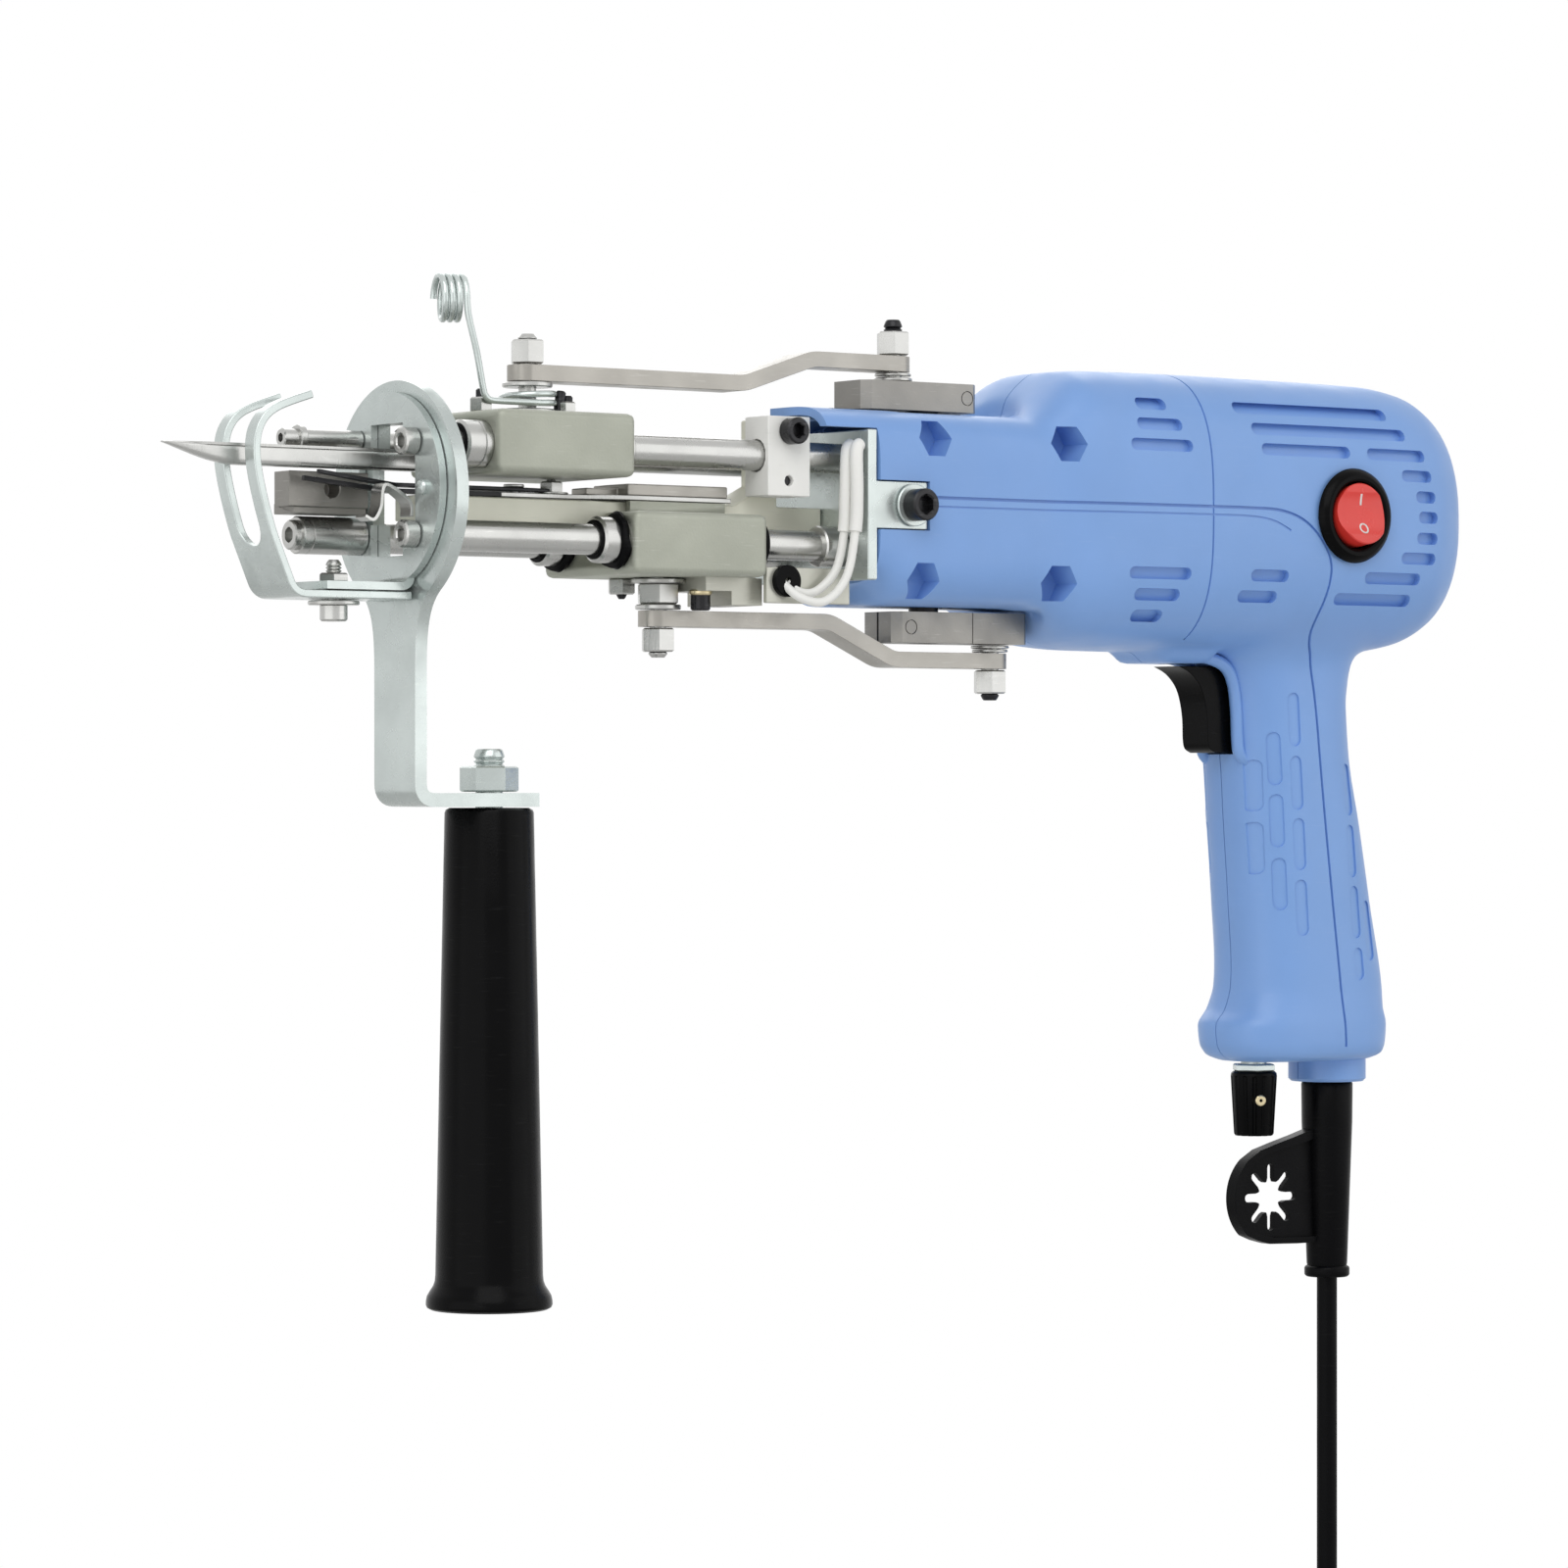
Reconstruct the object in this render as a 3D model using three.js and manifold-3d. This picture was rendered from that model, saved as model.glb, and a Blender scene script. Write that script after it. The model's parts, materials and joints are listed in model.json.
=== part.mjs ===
// Handheld tufting machine: millimetres, +X to the rear, -Y the near (left) side, +Z up.
// The model is built from the middle of the front plate and then set with its origin in the pistol grip.
import * as THREE from 'three';
import { mergeVertices } from 'three/addons/utils/BufferGeometryUtils.js';
import Module from 'manifold-3d';

const wasm = await Module();
wasm.setup();

// Fits and general sizes
const gap = 0.3;                 // air between pieces that seat on each other
const overrun = 1;               // how far a cutting tool reaches past the face it cuts
const runGap = 0.8;              // air beside a piece that slides or turns

// Colours
const paint = {
  casing: ['#7ca3de', 0.42, 0], dark: ['#1b1b1d', 0.4, 0], zinc: ['#c3ccce', 0.34, 0.85],
  steel: ['#b9bcbd', 0.28, 1], cast: ['#b0b2a5', 0.55, 0.1], beige: ['#d6d4c8', 0.5, 0.2],
  red: ['#e23a30', 0.3, 0], white: ['#f4f4f0', 0.5, 0], copper: ['#8a8f94', 0.5, 0.6],
};

// Guide rods: two above and two below the needle line
const rod = { radius: 4, side: 13, height: 11.6 };
const bush = { radius: 6, lip: 7.5, rearLip: 1.8 };

// Round plates at the front
const bracket = { radius: 29, drop: 1.4, thick: 3.5, strapHalf: 9.6, footDepth: 79.9, footLength: 37.5,
  bend: 6,
  neckDepth: 46, openAngle: 54, crossShare: 0.78 };
const frontPlate = { radius: 24.6, thick: 2, flangeHalf: 10, flangeFront: 26, flangeLow: 25.6,
  openAngle: 66 };
const frontSlot = { upHalf: 7.5, top: 16.6, bottom: 16.8, wideHalf: 13.2, wideTop: 9.4, wideBottom: 8.6 };
const plateScrew = { shank: 2, head: 3.5, headLong: 4, socket: 1.7, socketDeep: 2 };

// Rear plate of the gearbox
const gearPlate = { front: 129.8, thick: 3, half: 26.2, top: 18.9, bottom: 20.6, tabTop: 5.4, tabBottom: 7,
  tabRear: 149.4, tabThick: 2.4, shelfHalf: 17, shelfRear: 184, shelfThick: 2.6, shelfHeight: 15.4 };
const sideScrew = { x: 144.5, z: -0.7, shank: 2.5, head: 4.25, headLong: 5, washer: 5.2, washerThick: 1,
  reach: 6 };

// Sliding blocks
const block = { length: 41.8, half: 21.5, near: 4.2, far: 20.4, upperFront: 17.7, lowerFront: 59.4,
  edge: 1.6 };

// Beam between the blocks
const beam = { half: 6, top: -1.2, bottom: -7.6, tongueX: 112, tongueThick: 3, tongueTop: 22, slitHalf: 0.6,
  slitDeep: 12 };
const clamp = { front: 103, long: 13.6, near: 18.6, inner: 8.2, low: 1, high: 21.8, screwZ: 17.6, holeZ: 5,
  holeRadius: 1.4, screwRadius: 3.5, screwHead: 4.2 };
const collar = { radius: 5.4, long: 7 };

// Crank drive: the shaft stands upright through the nose
const crank = { x: 168.2, radius: 4, upperThrow: 10.3, lowerThrow: 22.8 };
const crankBlock = { half: 8, upperLow: 25.8, upperHigh: 33.5, lowerHigh: -28, lowerLow: -36.3,
  upperFront: 142.6, upperRear: 181.3, lowerFront: 152.8, lowerRear: 198.8, slit: 0.8, pin: 1.7, round: 5 };
const pinStud = { radius: 2.5, washer: 5.2, nutFlats: 4, nutLong: 6.4, upperTop: 50.4, lowerBottom: -51.4 };

// Links between the cranks and the blocks
const link = { half: 4.5, thick: 4.2, upperPivot: 40.2, lowerPivot: 81, flat: 29, eyeShare: 1.2,
  upperRearLow: 36.3, lowerRearHigh: -38.7, upperBend: [106, 128], lowerBend: [133.6, 155] };
const post = { radius: 2.5, washer: 7.2, washerThick: 1.2, hexFlats: 5, nutFlats: 4, nutLong: 6.2, over: 1.5,
  upperShare: 0.9, lowerShare: 0.84 };

// Bevel gears inside the nose
const gear = { teeth: 30, radius: 19.5, low: -13.6, high: -8.4, hub: 8, hubLow: -15, tooth: 1.1,
  coneShare: 0.82 };
const pinion = { teeth: 10, radius: 7.4, front: 182.6, rear: 190, tooth: 1.1 };
const bearing = { radius: 9, long: 4 };

// Motor
const motor = { front: 214, rear: 286.8, radius: 22, shaft: 3, shaftRear: 296, boss: 9, bossLong: 4, fan: 17,
  fanLong: 6, fanStart: 2, fanBlades: 8 };

// Needle
const needle = { x: -67.4, z: 7.5, radius: 2.75, wall: 0.65, rear: 60, tipLong: 20 };

// Blades
const blade = { tip: -27, pivotX: 36, rear: 98, thick: 1.2, low: -0.9, lift: 2.6, liftEnd: -3, half: 3,
  waistHalf: 3.6, waistX: 50, rearHalf: 9, open: 6, mount: [66, 96], tipHalf: 0.7, ribHalf: 7.2, tail: 12 };
const bladeNut = { flats: 2.75, thick: 1.8, screw: 1.5 };

// Presser foot: bent zinc fork that slides on the flange of the front plate
const foot = { half: 9.8, thick: 2, prongInner: 5.2, flangeTop: 25.9, flangeRear: -1, bendX: 34.5,
  slotBottom: 15,
  travel: 6 };
const footProfile = [[-34.5, -25.9], [-40.5, -14], [-44.8, 0], [-46, 9], [-44.5, 15], [-40, 19], [-30, 22.6]];
const footBolt = { x: -18, shank: 2, washer: 6.5, washerThick: 1.2, head: 3.5, headLong: 4, nutFlats: 3.5,
  nutLong: 3.2,
  socket: 1.5 };

// Posts and small parts before the front plate, on the far side
const farPost = { upperRadius: 2.5, upperZ: 13, lowerRadius: 4.8, lowerZ: -11.4, long: 18, collar: 3.4,
  collarLong: 1.4,
  screw: 2.4, screwLong: 5, lowerScrew: 3.8, lowerScrewLong: 2.6 };
const bladeBlock = { front: -28.4, rear: -5, near: 4.4, far: 11.4, low: -4.6, high: 4.3, hole: 2.2,
  holeX: -15.6 };
const leaf = { near: -13, far: -8, thick: 0.9 };
const leafBends = [[-3.6, -3.4], [-9.6, 0.4], [-11.4, -0.6], [-12, -5], [-14, -8.2], [-16.6, -7.4]];
const leafFoot = -7.2;

// Yarn guide: spring wire with a curled eye
const wire = { radius: 1, eyeRadius: 5.6, curls: 3.5, eyeZ: 49.4, eyeX: 19.4, eyeY: -1.6, wrapRadius: 6.8,
  wrapTurns: 1.25, turned: 21.7, bend: 3 };

// Front grip
const grip = { x: 28.5, long: 127.8, topRadius: 11.4, lowRadius: 13.9, flare: 16.2, flareLong: 6, bore: 4.3,
  boreDeep: 60, stud: 4, studOver: 14.7, nutFlats: 6.5, nutLong: 6.5 };

// Casing: sections along the body, [x, top, bottom, half width, squareness]
const casing = { wall: 2.4, seam: 0.15, groove: 1.1 };
const bodySections = [
  [133.4, 25, 21.4, 27, 5], [143, 25, 27, 27, 5], [187, 25.2, 27.2, 27.2, 4.6], [207, 38.2, 36.2, 30, 3.6],
  [222, 39, 37.4, 31, 3.1], [250, 39.3, 37.6, 31.6, 2.9], [292, 39.1, 37.5, 32, 2.8], [316, 38.8, 37, 31.6,
  2.7],
  [328, 37.4, 35.4, 30.2, 2.6], [337, 33.8, 32, 27, 2.5], [343.4, 27.8, 26.4, 22, 2.4], [347, 19, 18, 15,
  2.3],
  [348.4, 8, 7.6, 6.4, 2.2]];
// Handle sections downward, [z, middle x, half length, half width, squareness]
const handleSections = [
  [-26, 291, 20, 17, 2.6], [-42, 292, 22, 17.4, 2.6], [-52, 292.4, 20.6, 17.2, 2.6], [-66, 293.6, 20.6, 17,
  2.6],
  [-86, 296.4, 22, 17, 2.6], [-107, 299.2, 23.2, 17, 2.6], [-131, 301.9, 25, 17.2, 2.7], [-137, 301, 26,
  17.6, 2.8],
  [-142, 299.9, 28.4, 18, 2.8], [-147, 300, 28, 17.8, 2.8], [-150, 300.4, 26.6, 17, 2.8], [-152, 300.6, 23,
  14.6, 2.7]];
const hood = { front: 117, low: 19.3, wallShare: 0.8 };
const hexPocket = { flats: 3.7, floor: 2, boss: 5.6,
  spots: [[152.2, 17.2], [196.4, 17.2], [148.6, -20.5], [193.7, -20.3]] };
const grooveHalf = 1.4;
const grooves = [
  [220.6, 231.3, 29.2], [219.2, 235, 23.6], [216.1, 237.6, 17.9], [255.3, 312.4, 29.3], [259.7, 317, 23.6],
  [262.1, 294.4, 18], [300.8, 323.5, 17.9], [313.3, 325.5, 12.2], [318.5, 326.8, 6.4], [319.6, 327.7, 0.7],
  [318.9, 327.7, -5.2], [313.1, 327.2, -10.9], [299.9, 321.5, -16.7], [289.9, 319.2, -22.7], [215.5, 237,
  -16.9],
  [218.2, 234.1, -22.7], [219.2, 230.1, -28.4], [258.2, 271.8, -16.8], [254.7, 268.8, -22.6]];

// Rocker switch in the near side
const rocker = { x: 294.2, z: 0.4, bezel: 13.2, bezelThick: 2.6, barrel: 9.6, face: 9.6,
  inner: 8.6,
  tilt: -9, height: 3.4, hollow: 13.6, hollowDeep: 15.6, seatShare: 0.4 };

// Trigger
const trigger = { long: 26.5, inset: 7.2, half: 7, top: -41.4, bottom: -65.4, travel: 6 };
const triggerCurve = [[0, 1], [3.4, 4.8], [7, 11], [8.8, 17.4]];  // behind its front, below its top
const triggerRear = handleSections[2][1] - handleSections[2][2] + trigger.inset;
const triggerFront = triggerRear - trigger.long;
const triggerSwitch = { long: 22.8, half: 8, drop: 4.6 };

// Speed control under the handle
const speed = { x: 285.6, potRadius: 8, potTop: 140, potBottom: 148.6, shaft: 2.4, bush: 3.6, nutFlats: 5.4,
  nutTop: 152.4, nutLong: 2.2, knobTop: 154.9, knobBottom: 173, knobRadius: 6.5, knobLow: 5.5, flutes: 12,
  fluteShare: 0.93 };

// Cord: boss, strain relief and free cord
const cord = { x: 313, radius: 3, bossRadius: 11, bossLow: 158.4, bootTop: 150, bootNeck: 5.6,
  bootRadius: 7.1,
  bootLow: 5.4, bootEnd: 211, flange: 6.4, flangeEnd: 214 };
// The hook plate stands out forwards from the strain relief, with a star-shaped hole in it
const hook = { half: 2, round: 14.1, low: 204, rearTop: 171, starInner: 3.4, starOuter: 7.2, starBack: 21.9,
  starZ: 190.6,
  rays: 8, rayShare: 0.42, rayFoot: 1.6, rayTip: 0.55, neck: 27.9, shoulder: 6, openAngle: 50 };
const hank = { top: 352, straight: 50, inner: 18, step: 7.2, turns: 6, layer: 3.5, waist: 9, foldShare: 1.6,
  climb: 0.2, tieShare: 0.25, stepsPerTurn: 24, sides: 6, tail: 50 };
const tie = { high: 9, wall: 1.4 };
const plug = { half: 9, long: 30, thick: 6.4, bulgeShare: 1.25, pin: 2, pinLong: 17, pinSpread: 6.4,
  sleeve: 5,
  sleeveShare: 0.8, sleeveLong: 16 };

// Lead wires from the gearbox plate to the grommet
const lead = { radius: 1.6 };
const leadPoints = [[128.9, -20.5, 15], [126.6, -21.4, 13], [126, -21.6, 2], [125.6, -21.6, -10], [123,
  -21.2, -19],
  [117, -19.6, -24], [111.4, -17.2, -22.6], [107.6, -17.4, -20.2], [105.6, -20, -22], [110, -23.6, -27],
  [117, -24.6, -26.6], [123.4, -25, -20], [126, -25.4, -10], [126.4, -25.4, 2], [126.8, -25.2, 13], [128.9,
  -24.4, 15]];

// Shape helpers
const X = new THREE.Vector3(1, 0, 0), Y = new THREE.Vector3(0, 1, 0), Z = new THREE.Vector3(0, 0, 1);

function solid(geometry) {
  const bare = geometry.index ? geometry : geometry.clone();
  for (const name of ['normal', 'uv']) if (bare.getAttribute(name)) bare.deleteAttribute(name);
  const merged = mergeVertices(bare, 1e-4);
  const mesh = new wasm.Mesh({ numProp: 3, vertProperties: new Float32Array(merged.attributes.position.array),
    triVerts: new Uint32Array(merged.index.array) });
  return new wasm.Manifold(mesh);
}

function toGeometry(manifold) {
  const mesh = manifold.getMesh();
  const geometry = new THREE.BufferGeometry();
  geometry.setAttribute('position', new THREE.BufferAttribute(new Float32Array(mesh.vertProperties), 3));
  geometry.setIndex(new THREE.BufferAttribute(new Uint32Array(mesh.triVerts), 1));
  geometry.computeVertexNormals();
  return geometry;
}

const join = (...pieces) => pieces.reduce((all, one) => all.add(one));
const cut = (from, ...tools) => tools.reduce((left, tool) => left.subtract(tool), from);

// A cuboid between two corners
function cuboid([x0, x1], [y0, y1], [z0, z1]) {
  const shape = new THREE.BoxGeometry(x1 - x0, y1 - y0, z1 - z0);
  return solid(shape.translate((x0 + x1) / 2, (y0 + y1) / 2, (z0 + z1) / 2));
}

// A round bar along an axis, from a start point over a length
function bar(axis, [x, y, z], radius, length, sides = 14, endRadius = radius) {
  const shape = new THREE.CylinderGeometry(endRadius, radius, length, sides);
  shape.translate(0, length / 2, 0);
  shape.applyQuaternion(new THREE.Quaternion().setFromUnitVectors(Y, axis));
  return solid(shape.translate(x, y, z));
}

// A six-sided bar whose flats lie at the given distance from its axis
const hexBar = (axis, at, flats, length) => bar(axis, at, flats / Math.cos(Math.PI / 6), length, 6);

// A flat outline in x and y, raised by a thickness from z
function slab(points, z, thick, holes = []) {
  const outline = new THREE.Shape(points.map(([x, y]) => new THREE.Vector2(x, y)));
  outline.holes = holes.map((hole) => new THREE.Path(hole.map(([x, y]) => new THREE.Vector2(x, y))));
  const shape = new THREE.ExtrudeGeometry(outline, { depth: thick, bevelEnabled: false });
  return solid(shape.translate(0, 0, z));
}

// The same outline drawn in x and z, from y over a width
function sideSlab(points, y, width, holes = []) {
  const outline = new THREE.Shape(points.map(([x, z]) => new THREE.Vector2(x, z)));
  outline.holes = holes.map((hole) => new THREE.Path(hole.map(([x, z]) => new THREE.Vector2(x, z))));
  const shape = new THREE.ExtrudeGeometry(outline, { depth: width, bevelEnabled: false });
  shape.rotateX(Math.PI / 2);
  return solid(shape.translate(0, y + width, 0));
}

// The same outline drawn in y and z, from x over a thickness
function faceSlab(points, x, thick) {
  const outline = new THREE.Shape(points.map(([y, z]) => new THREE.Vector2(y, z)));
  const shape = new THREE.ExtrudeGeometry(outline, { depth: thick, bevelEnabled: false });
  shape.rotateX(Math.PI / 2).rotateZ(Math.PI / 2);
  return solid(shape.translate(x, 0, 0));
}

// The outline of a bar from above, with its four corners cut off
function blunted([front, rear], half, edge) {
  return [[front + edge, -half], [rear - edge, -half], [rear, -half + edge], [rear, half - edge],
    [rear - edge, half],
    [front + edge, half], [front, half - edge], [front, -half + edge]];
}

// Points of an arc, angles in degrees
function arc(cx, cy, radius, from, to, steps) {
  return Array.from({ length: steps + 1 }, (_, i) => {
    const angle = THREE.MathUtils.degToRad(from + (to - from) * i / steps);
    return [cx + radius * Math.cos(angle), cy + radius * Math.sin(angle)];
  });
}

// A strip of even thickness that follows a line of points in the side view
function strip(points, thick) {
  const side = (sign) => points.map(([x, z], i) => {
    const before = points[Math.max(i - 1, 0)], after = points[Math.min(i + 1, points.length - 1)];
    const inward = new THREE.Vector2(x - before[0], z - before[1]).normalize();
    const onward = new THREE.Vector2(after[0] - x, after[1] - z).normalize();
    if (i === 0) inward.copy(onward);
    if (i === points.length - 1) onward.copy(inward);
    const normal = inward.clone().add(onward).normalize();
    const stretch = sign * thick / 2 / normal.dot(inward);
    return [x - normal.y * stretch, z + normal.x * stretch];
  });
  return [...side(1), ...side(-1).reverse()];
}

// A closed skin over rings that all have the same number of points
function skin(rings) {
  const count = rings[0].length;
  const points = rings.flat();
  const faces = [];
  for (let r = 0; r < rings.length - 1; r++) {
    for (let i = 0; i < count; i++) {
      const a = r * count + i, b = r * count + (i + 1) % count;
      faces.push(a, b, b + count, a, b + count, a + count);
    }
  }
  for (const [start, flip] of [[0, true], [(rings.length - 1) * count, false]]) {
    const centre = points.slice(start, start + count).reduce((sum, p) => sum.add(p), new THREE.Vector3());
    points.push(centre.divideScalar(count));
    for (let i = 0; i < count; i++) {
      const a = start + i, b = start + (i + 1) % count;
      faces.push(points.length - 1, flip ? b : a, flip ? a : b);
    }
  }
  const geometry = new THREE.BufferGeometry();
  geometry.setAttribute('position', new THREE.Float32BufferAttribute(points.flatMap((p) => p.toArray()), 3));
  geometry.setIndex(faces);
  const made = solid(geometry);
  return made.volume() > 0 ? made : solid(flipped(geometry));
}

function flipped(geometry) {
  const index = geometry.index.array;
  for (let i = 0; i < index.length; i += 3) [index[i], index[i + 1]] = [index[i + 1], index[i]];
  return geometry;
}

// A ring of the squared-oval kind: 2 is an oval, more is squarer
function ovalPoint(angle, half, up, down, squareness) {
  const c = Math.cos(angle), s = Math.sin(angle), power = 2 / squareness;
  return [half * Math.sign(c) * Math.abs(c) ** power,
    (s > 0 ? up : down) * Math.sign(s) * Math.abs(s) ** power];
}

// A tube of even radius along points, closed at both ends
function tube(points, radius, sides) {
  const curve = points.map((p) => p.clone());
  let normal = new THREE.Vector3(0, 0, 1);
  const first = curve[1].clone().sub(curve[0]).normalize();
  if (Math.abs(first.dot(normal)) > 0.9) normal.set(0, 1, 0);
  const rings = curve.map((p, i) => {
    const ahead = curve[Math.min(i + 1, curve.length - 1)].clone().sub(curve[Math.max(i - 1, 0)]).normalize();
    normal = normal.clone().sub(ahead.clone().multiplyScalar(normal.dot(ahead))).normalize();
    const across = ahead.clone().cross(normal);
    return Array.from({ length: sides }, (_, k) => {
      const angle = 2 * Math.PI * k / sides;
      return p.clone().addScaledVector(normal, radius * Math.cos(angle)).addScaledVector(across,
        radius * Math.sin(angle));
    });
  });
  return skin(rings);
}

// The least distance between stretches of a tube's line that are not neighbours, less its diameter
function selfGap(points, radius, skip) {
  let least = Infinity;
  for (let i = 0; i < points.length; i++) {
    for (let j = i + skip; j < points.length; j++) least = Math.min(least, points[i].distanceTo(points[j]));
  }
  return least - 2 * radius;
}

const meshes = new THREE.Group();

function add(name, manifold, colour) {
  const [shade, roughness, metalness] = paint[colour];
  const mesh = new THREE.Mesh(toGeometry(manifold), new THREE.MeshStandardMaterial({ color: shade,
    roughness, metalness }));
  mesh.name = name;
  meshes.add(mesh);
}

// A socket head screw: head at the start, shank running on along the axis
function socketScrew(axis, at, headRadius, headLong, shankRadius, shankLong, socketRadius) {
  const start = new THREE.Vector3(...at);
  const neck = start.clone().addScaledVector(axis, headLong - overrun / 2);
  const outside = start.clone().addScaledVector(axis, -overrun);
  return cut(join(bar(axis, start.toArray(), headRadius, headLong),
    bar(axis, neck.toArray(), shankRadius, shankLong + overrun / 2, 16)),
  hexBar(axis, outside.toArray(), socketRadius, headLong / 2 + overrun));
}

const down = Z.clone().negate(), forward = X.clone().negate(), nearward = Y.clone().negate();

// Guide rods, bushes and blocks
const rodStart = bracket.thick + gap;
const rodEnd = gearPlate.front - gap;
const sides = { near: -rod.side, far: rod.side };
const levels = { upper: rod.height, lower: -rod.height };
for (const [level, z] of Object.entries(levels)) {
  for (const [side, y] of Object.entries(sides)) {
    let piece = bar(X, [rodStart, y, z], rod.radius, rodEnd - rodStart);
    if (side === 'near') {
      piece = cut(piece, bar(X, [0, y, z], plateScrew.shank + gap, rodStart + plateScrew.socketDeep * 2, 16));
    }
    if (level === 'lower') piece = join(piece, bar(X, [rodEnd - collar.long, y, z], collar.radius,
      collar.long));
    add(`guide_rod_${level}_${side}`, piece, 'steel');
  }
}

// Pivot heights beside the links
const linkLow = { upper: link.flat, lower: -link.flat - link.thick };

function buildBlock(level) {
  const up = level === 'upper';
  const front = up ? block.upperFront : block.lowerFront;
  const heights = up ? [block.near, block.far] : [-block.far, -block.near];
  let body = slab(blunted([front, front + block.length], block.half, block.edge), heights[0],
    heights[1] - heights[0]);
  const bores = Object.values(sides).map((y) => bar(X, [front - overrun, y, levels[level]], bush.radius + gap,
    block.length + 2 * overrun));
  body = cut(body, ...bores);
  if (!up) {
    const channel = beam.half + runGap;
    body = cut(body, cuboid([front - overrun, front + block.length + overrun], [-channel, channel],
      [beam.bottom - runGap, -block.near + overrun]));
    const ribs = [-1, 1].map((sign) => cuboid(blade.mount, sign < 0 ? [-blade.rearHalf, -blade.ribHalf]
      : [blade.ribHalf, blade.rearHalf], [-block.near - overrun / 2, blade.low - gap]));
    body = join(body, ...ribs);
  } else {
    const holder = needle.radius + gap;
    body = cut(body, bar(X, [front - overrun, 0, needle.z], holder, needle.rear - front + gap + overrun));
  }
  const pivot = up ? link.upperPivot : link.lowerPivot;
  const drill = up ? bar(down, [pivot, 0, block.far + overrun], post.radius + gap, overrun + post.washer, 16)
    : bar(Z, [pivot, 0, -block.far - overrun], post.radius + gap, overrun + post.washer, 16);
  add(`${level}_block`, cut(body, drill), 'cast');
  for (const [side, y] of Object.entries(sides)) {
    const long = block.length + bush.lip + bush.rearLip;
    add(`${level}_bush_${side}`, cut(bar(X, [front - bush.lip, y, levels[level]], bush.radius, long),
      bar(X, [front - bush.lip - overrun, y, levels[level]], rod.radius + gap, long + 2 * overrun)), 'steel');
  }
}
buildBlock('upper');
buildBlock('lower');

// Needle: a hollow tube cut to a quill at the front
const needleBody = cut(
  bar(X, [needle.x, 0, needle.z], needle.radius, needle.rear - needle.x),
  bar(X, [needle.x - overrun, 0, needle.z], needle.radius - needle.wall,
  needle.rear - needle.x + 2 * overrun, 16),
  sideSlab([[needle.x - overrun, needle.z + needle.radius - needle.wall], [needle.x + needle.tipLong / 3,
  needle.z],
    [needle.x + needle.tipLong, needle.z - needle.radius - overrun], [needle.x - overrun,
    needle.z - needle.radius - overrun]],
  -needle.radius - overrun, 2 * (needle.radius + overrun)));
add('needle', needleBody, 'steel');

// Pivot posts, links and their nuts
function buildLink(level) {
  const up = level === 'upper';
  const sign = up ? 1 : -1;
  const axis = up ? Z : down;
  const pivot = up ? link.upperPivot : link.lowerPivot;
  const pin = crank.x - sign * (up ? crank.upperThrow : crank.lowerThrow);
  const armLow = linkLow[level];
  const rearLow = up ? link.upperRearLow : link.lowerRearHigh - link.thick;
  const bends = up ? link.upperBend : link.lowerBend;
  const top = up ? armLow + link.thick : armLow;
  const ends = [pivot - link.half * link.eyeShare, pin + link.half];
  const profile = strip([[ends[0], armLow + link.thick / 2], [bends[0], armLow + link.thick / 2],
    [bends[1], rearLow + link.thick / 2], [ends[1], rearLow + link.thick / 2]], link.thick);
  const arm = cut(sideSlab(profile, -link.half, 2 * link.half),
    bar(Z, [pivot, 0, armLow - overrun], post.radius + gap, link.thick + 2 * overrun, 16),
    bar(Z, [pin, 0, rearLow - overrun], pinStud.radius + gap, link.thick + 2 * overrun, 16));
  add(`${level}_link`, arm, 'steel');

  const seat = sign * block.far;
  const stackEnd = up ? armLow - gap : armLow + link.thick + gap;
  const stack = Math.abs(stackEnd - seat) - gap;
  const postLong = Math.abs(top - seat) + post.nutLong + post.over + post.washer;
  let pivotPost = bar(axis, [pivot, 0, seat - sign * (post.washer - gap)], post.radius, postLong, 16);
  if (up) {
    pivotPost = join(pivotPost, bar(axis, [pivot, 0, seat + gap], post.washer, post.washerThick),
      bar(axis, [pivot, 0, stackEnd - post.washerThick], post.washer * post.upperShare, post.washerThick));
  } else {
    pivotPost = join(pivotPost, bar(axis, [pivot, 0, seat - gap], post.washer, post.washerThick),
      hexBar(axis, [pivot, 0, seat - gap - post.washerThick + gap / 2], post.hexFlats,
      stack - 2 * post.washerThick),
      bar(axis, [pivot, 0, seat - gap - stack + post.washerThick + gap / 2], post.washer * post.lowerShare,
        post.washerThick + gap / 2));
  }
  const linkNut = hexBar(axis, [pivot, 0, top + sign * gap], post.nutFlats, post.nutLong);
  add(`${level}_pivot_post`, join(pivotPost, linkNut), 'steel');
  const blockFace = up ? crankBlock.upperHigh : crankBlock.lowerLow;
  const rearInner = up ? rearLow : rearLow + link.thick;
  const rearTop = up ? rearLow + link.thick : rearLow;
  const studEnd = up ? pinStud.upperTop : pinStud.lowerBottom;
  const stud = join(bar(axis, [pin, 0, blockFace + sign * gap], pinStud.radius,
    Math.abs(studEnd - blockFace) - gap, 16),
    bar(axis, [pin, 0, blockFace + sign * gap], pinStud.washer, Math.abs(rearInner - blockFace) - 2 * gap),
    hexBar(axis, [pin, 0, rearTop + sign * gap], pinStud.nutFlats, pinStud.nutLong));
  add(`${level}_crank_pin`, stud, 'steel');
}
buildLink('upper');
buildLink('lower');

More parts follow.
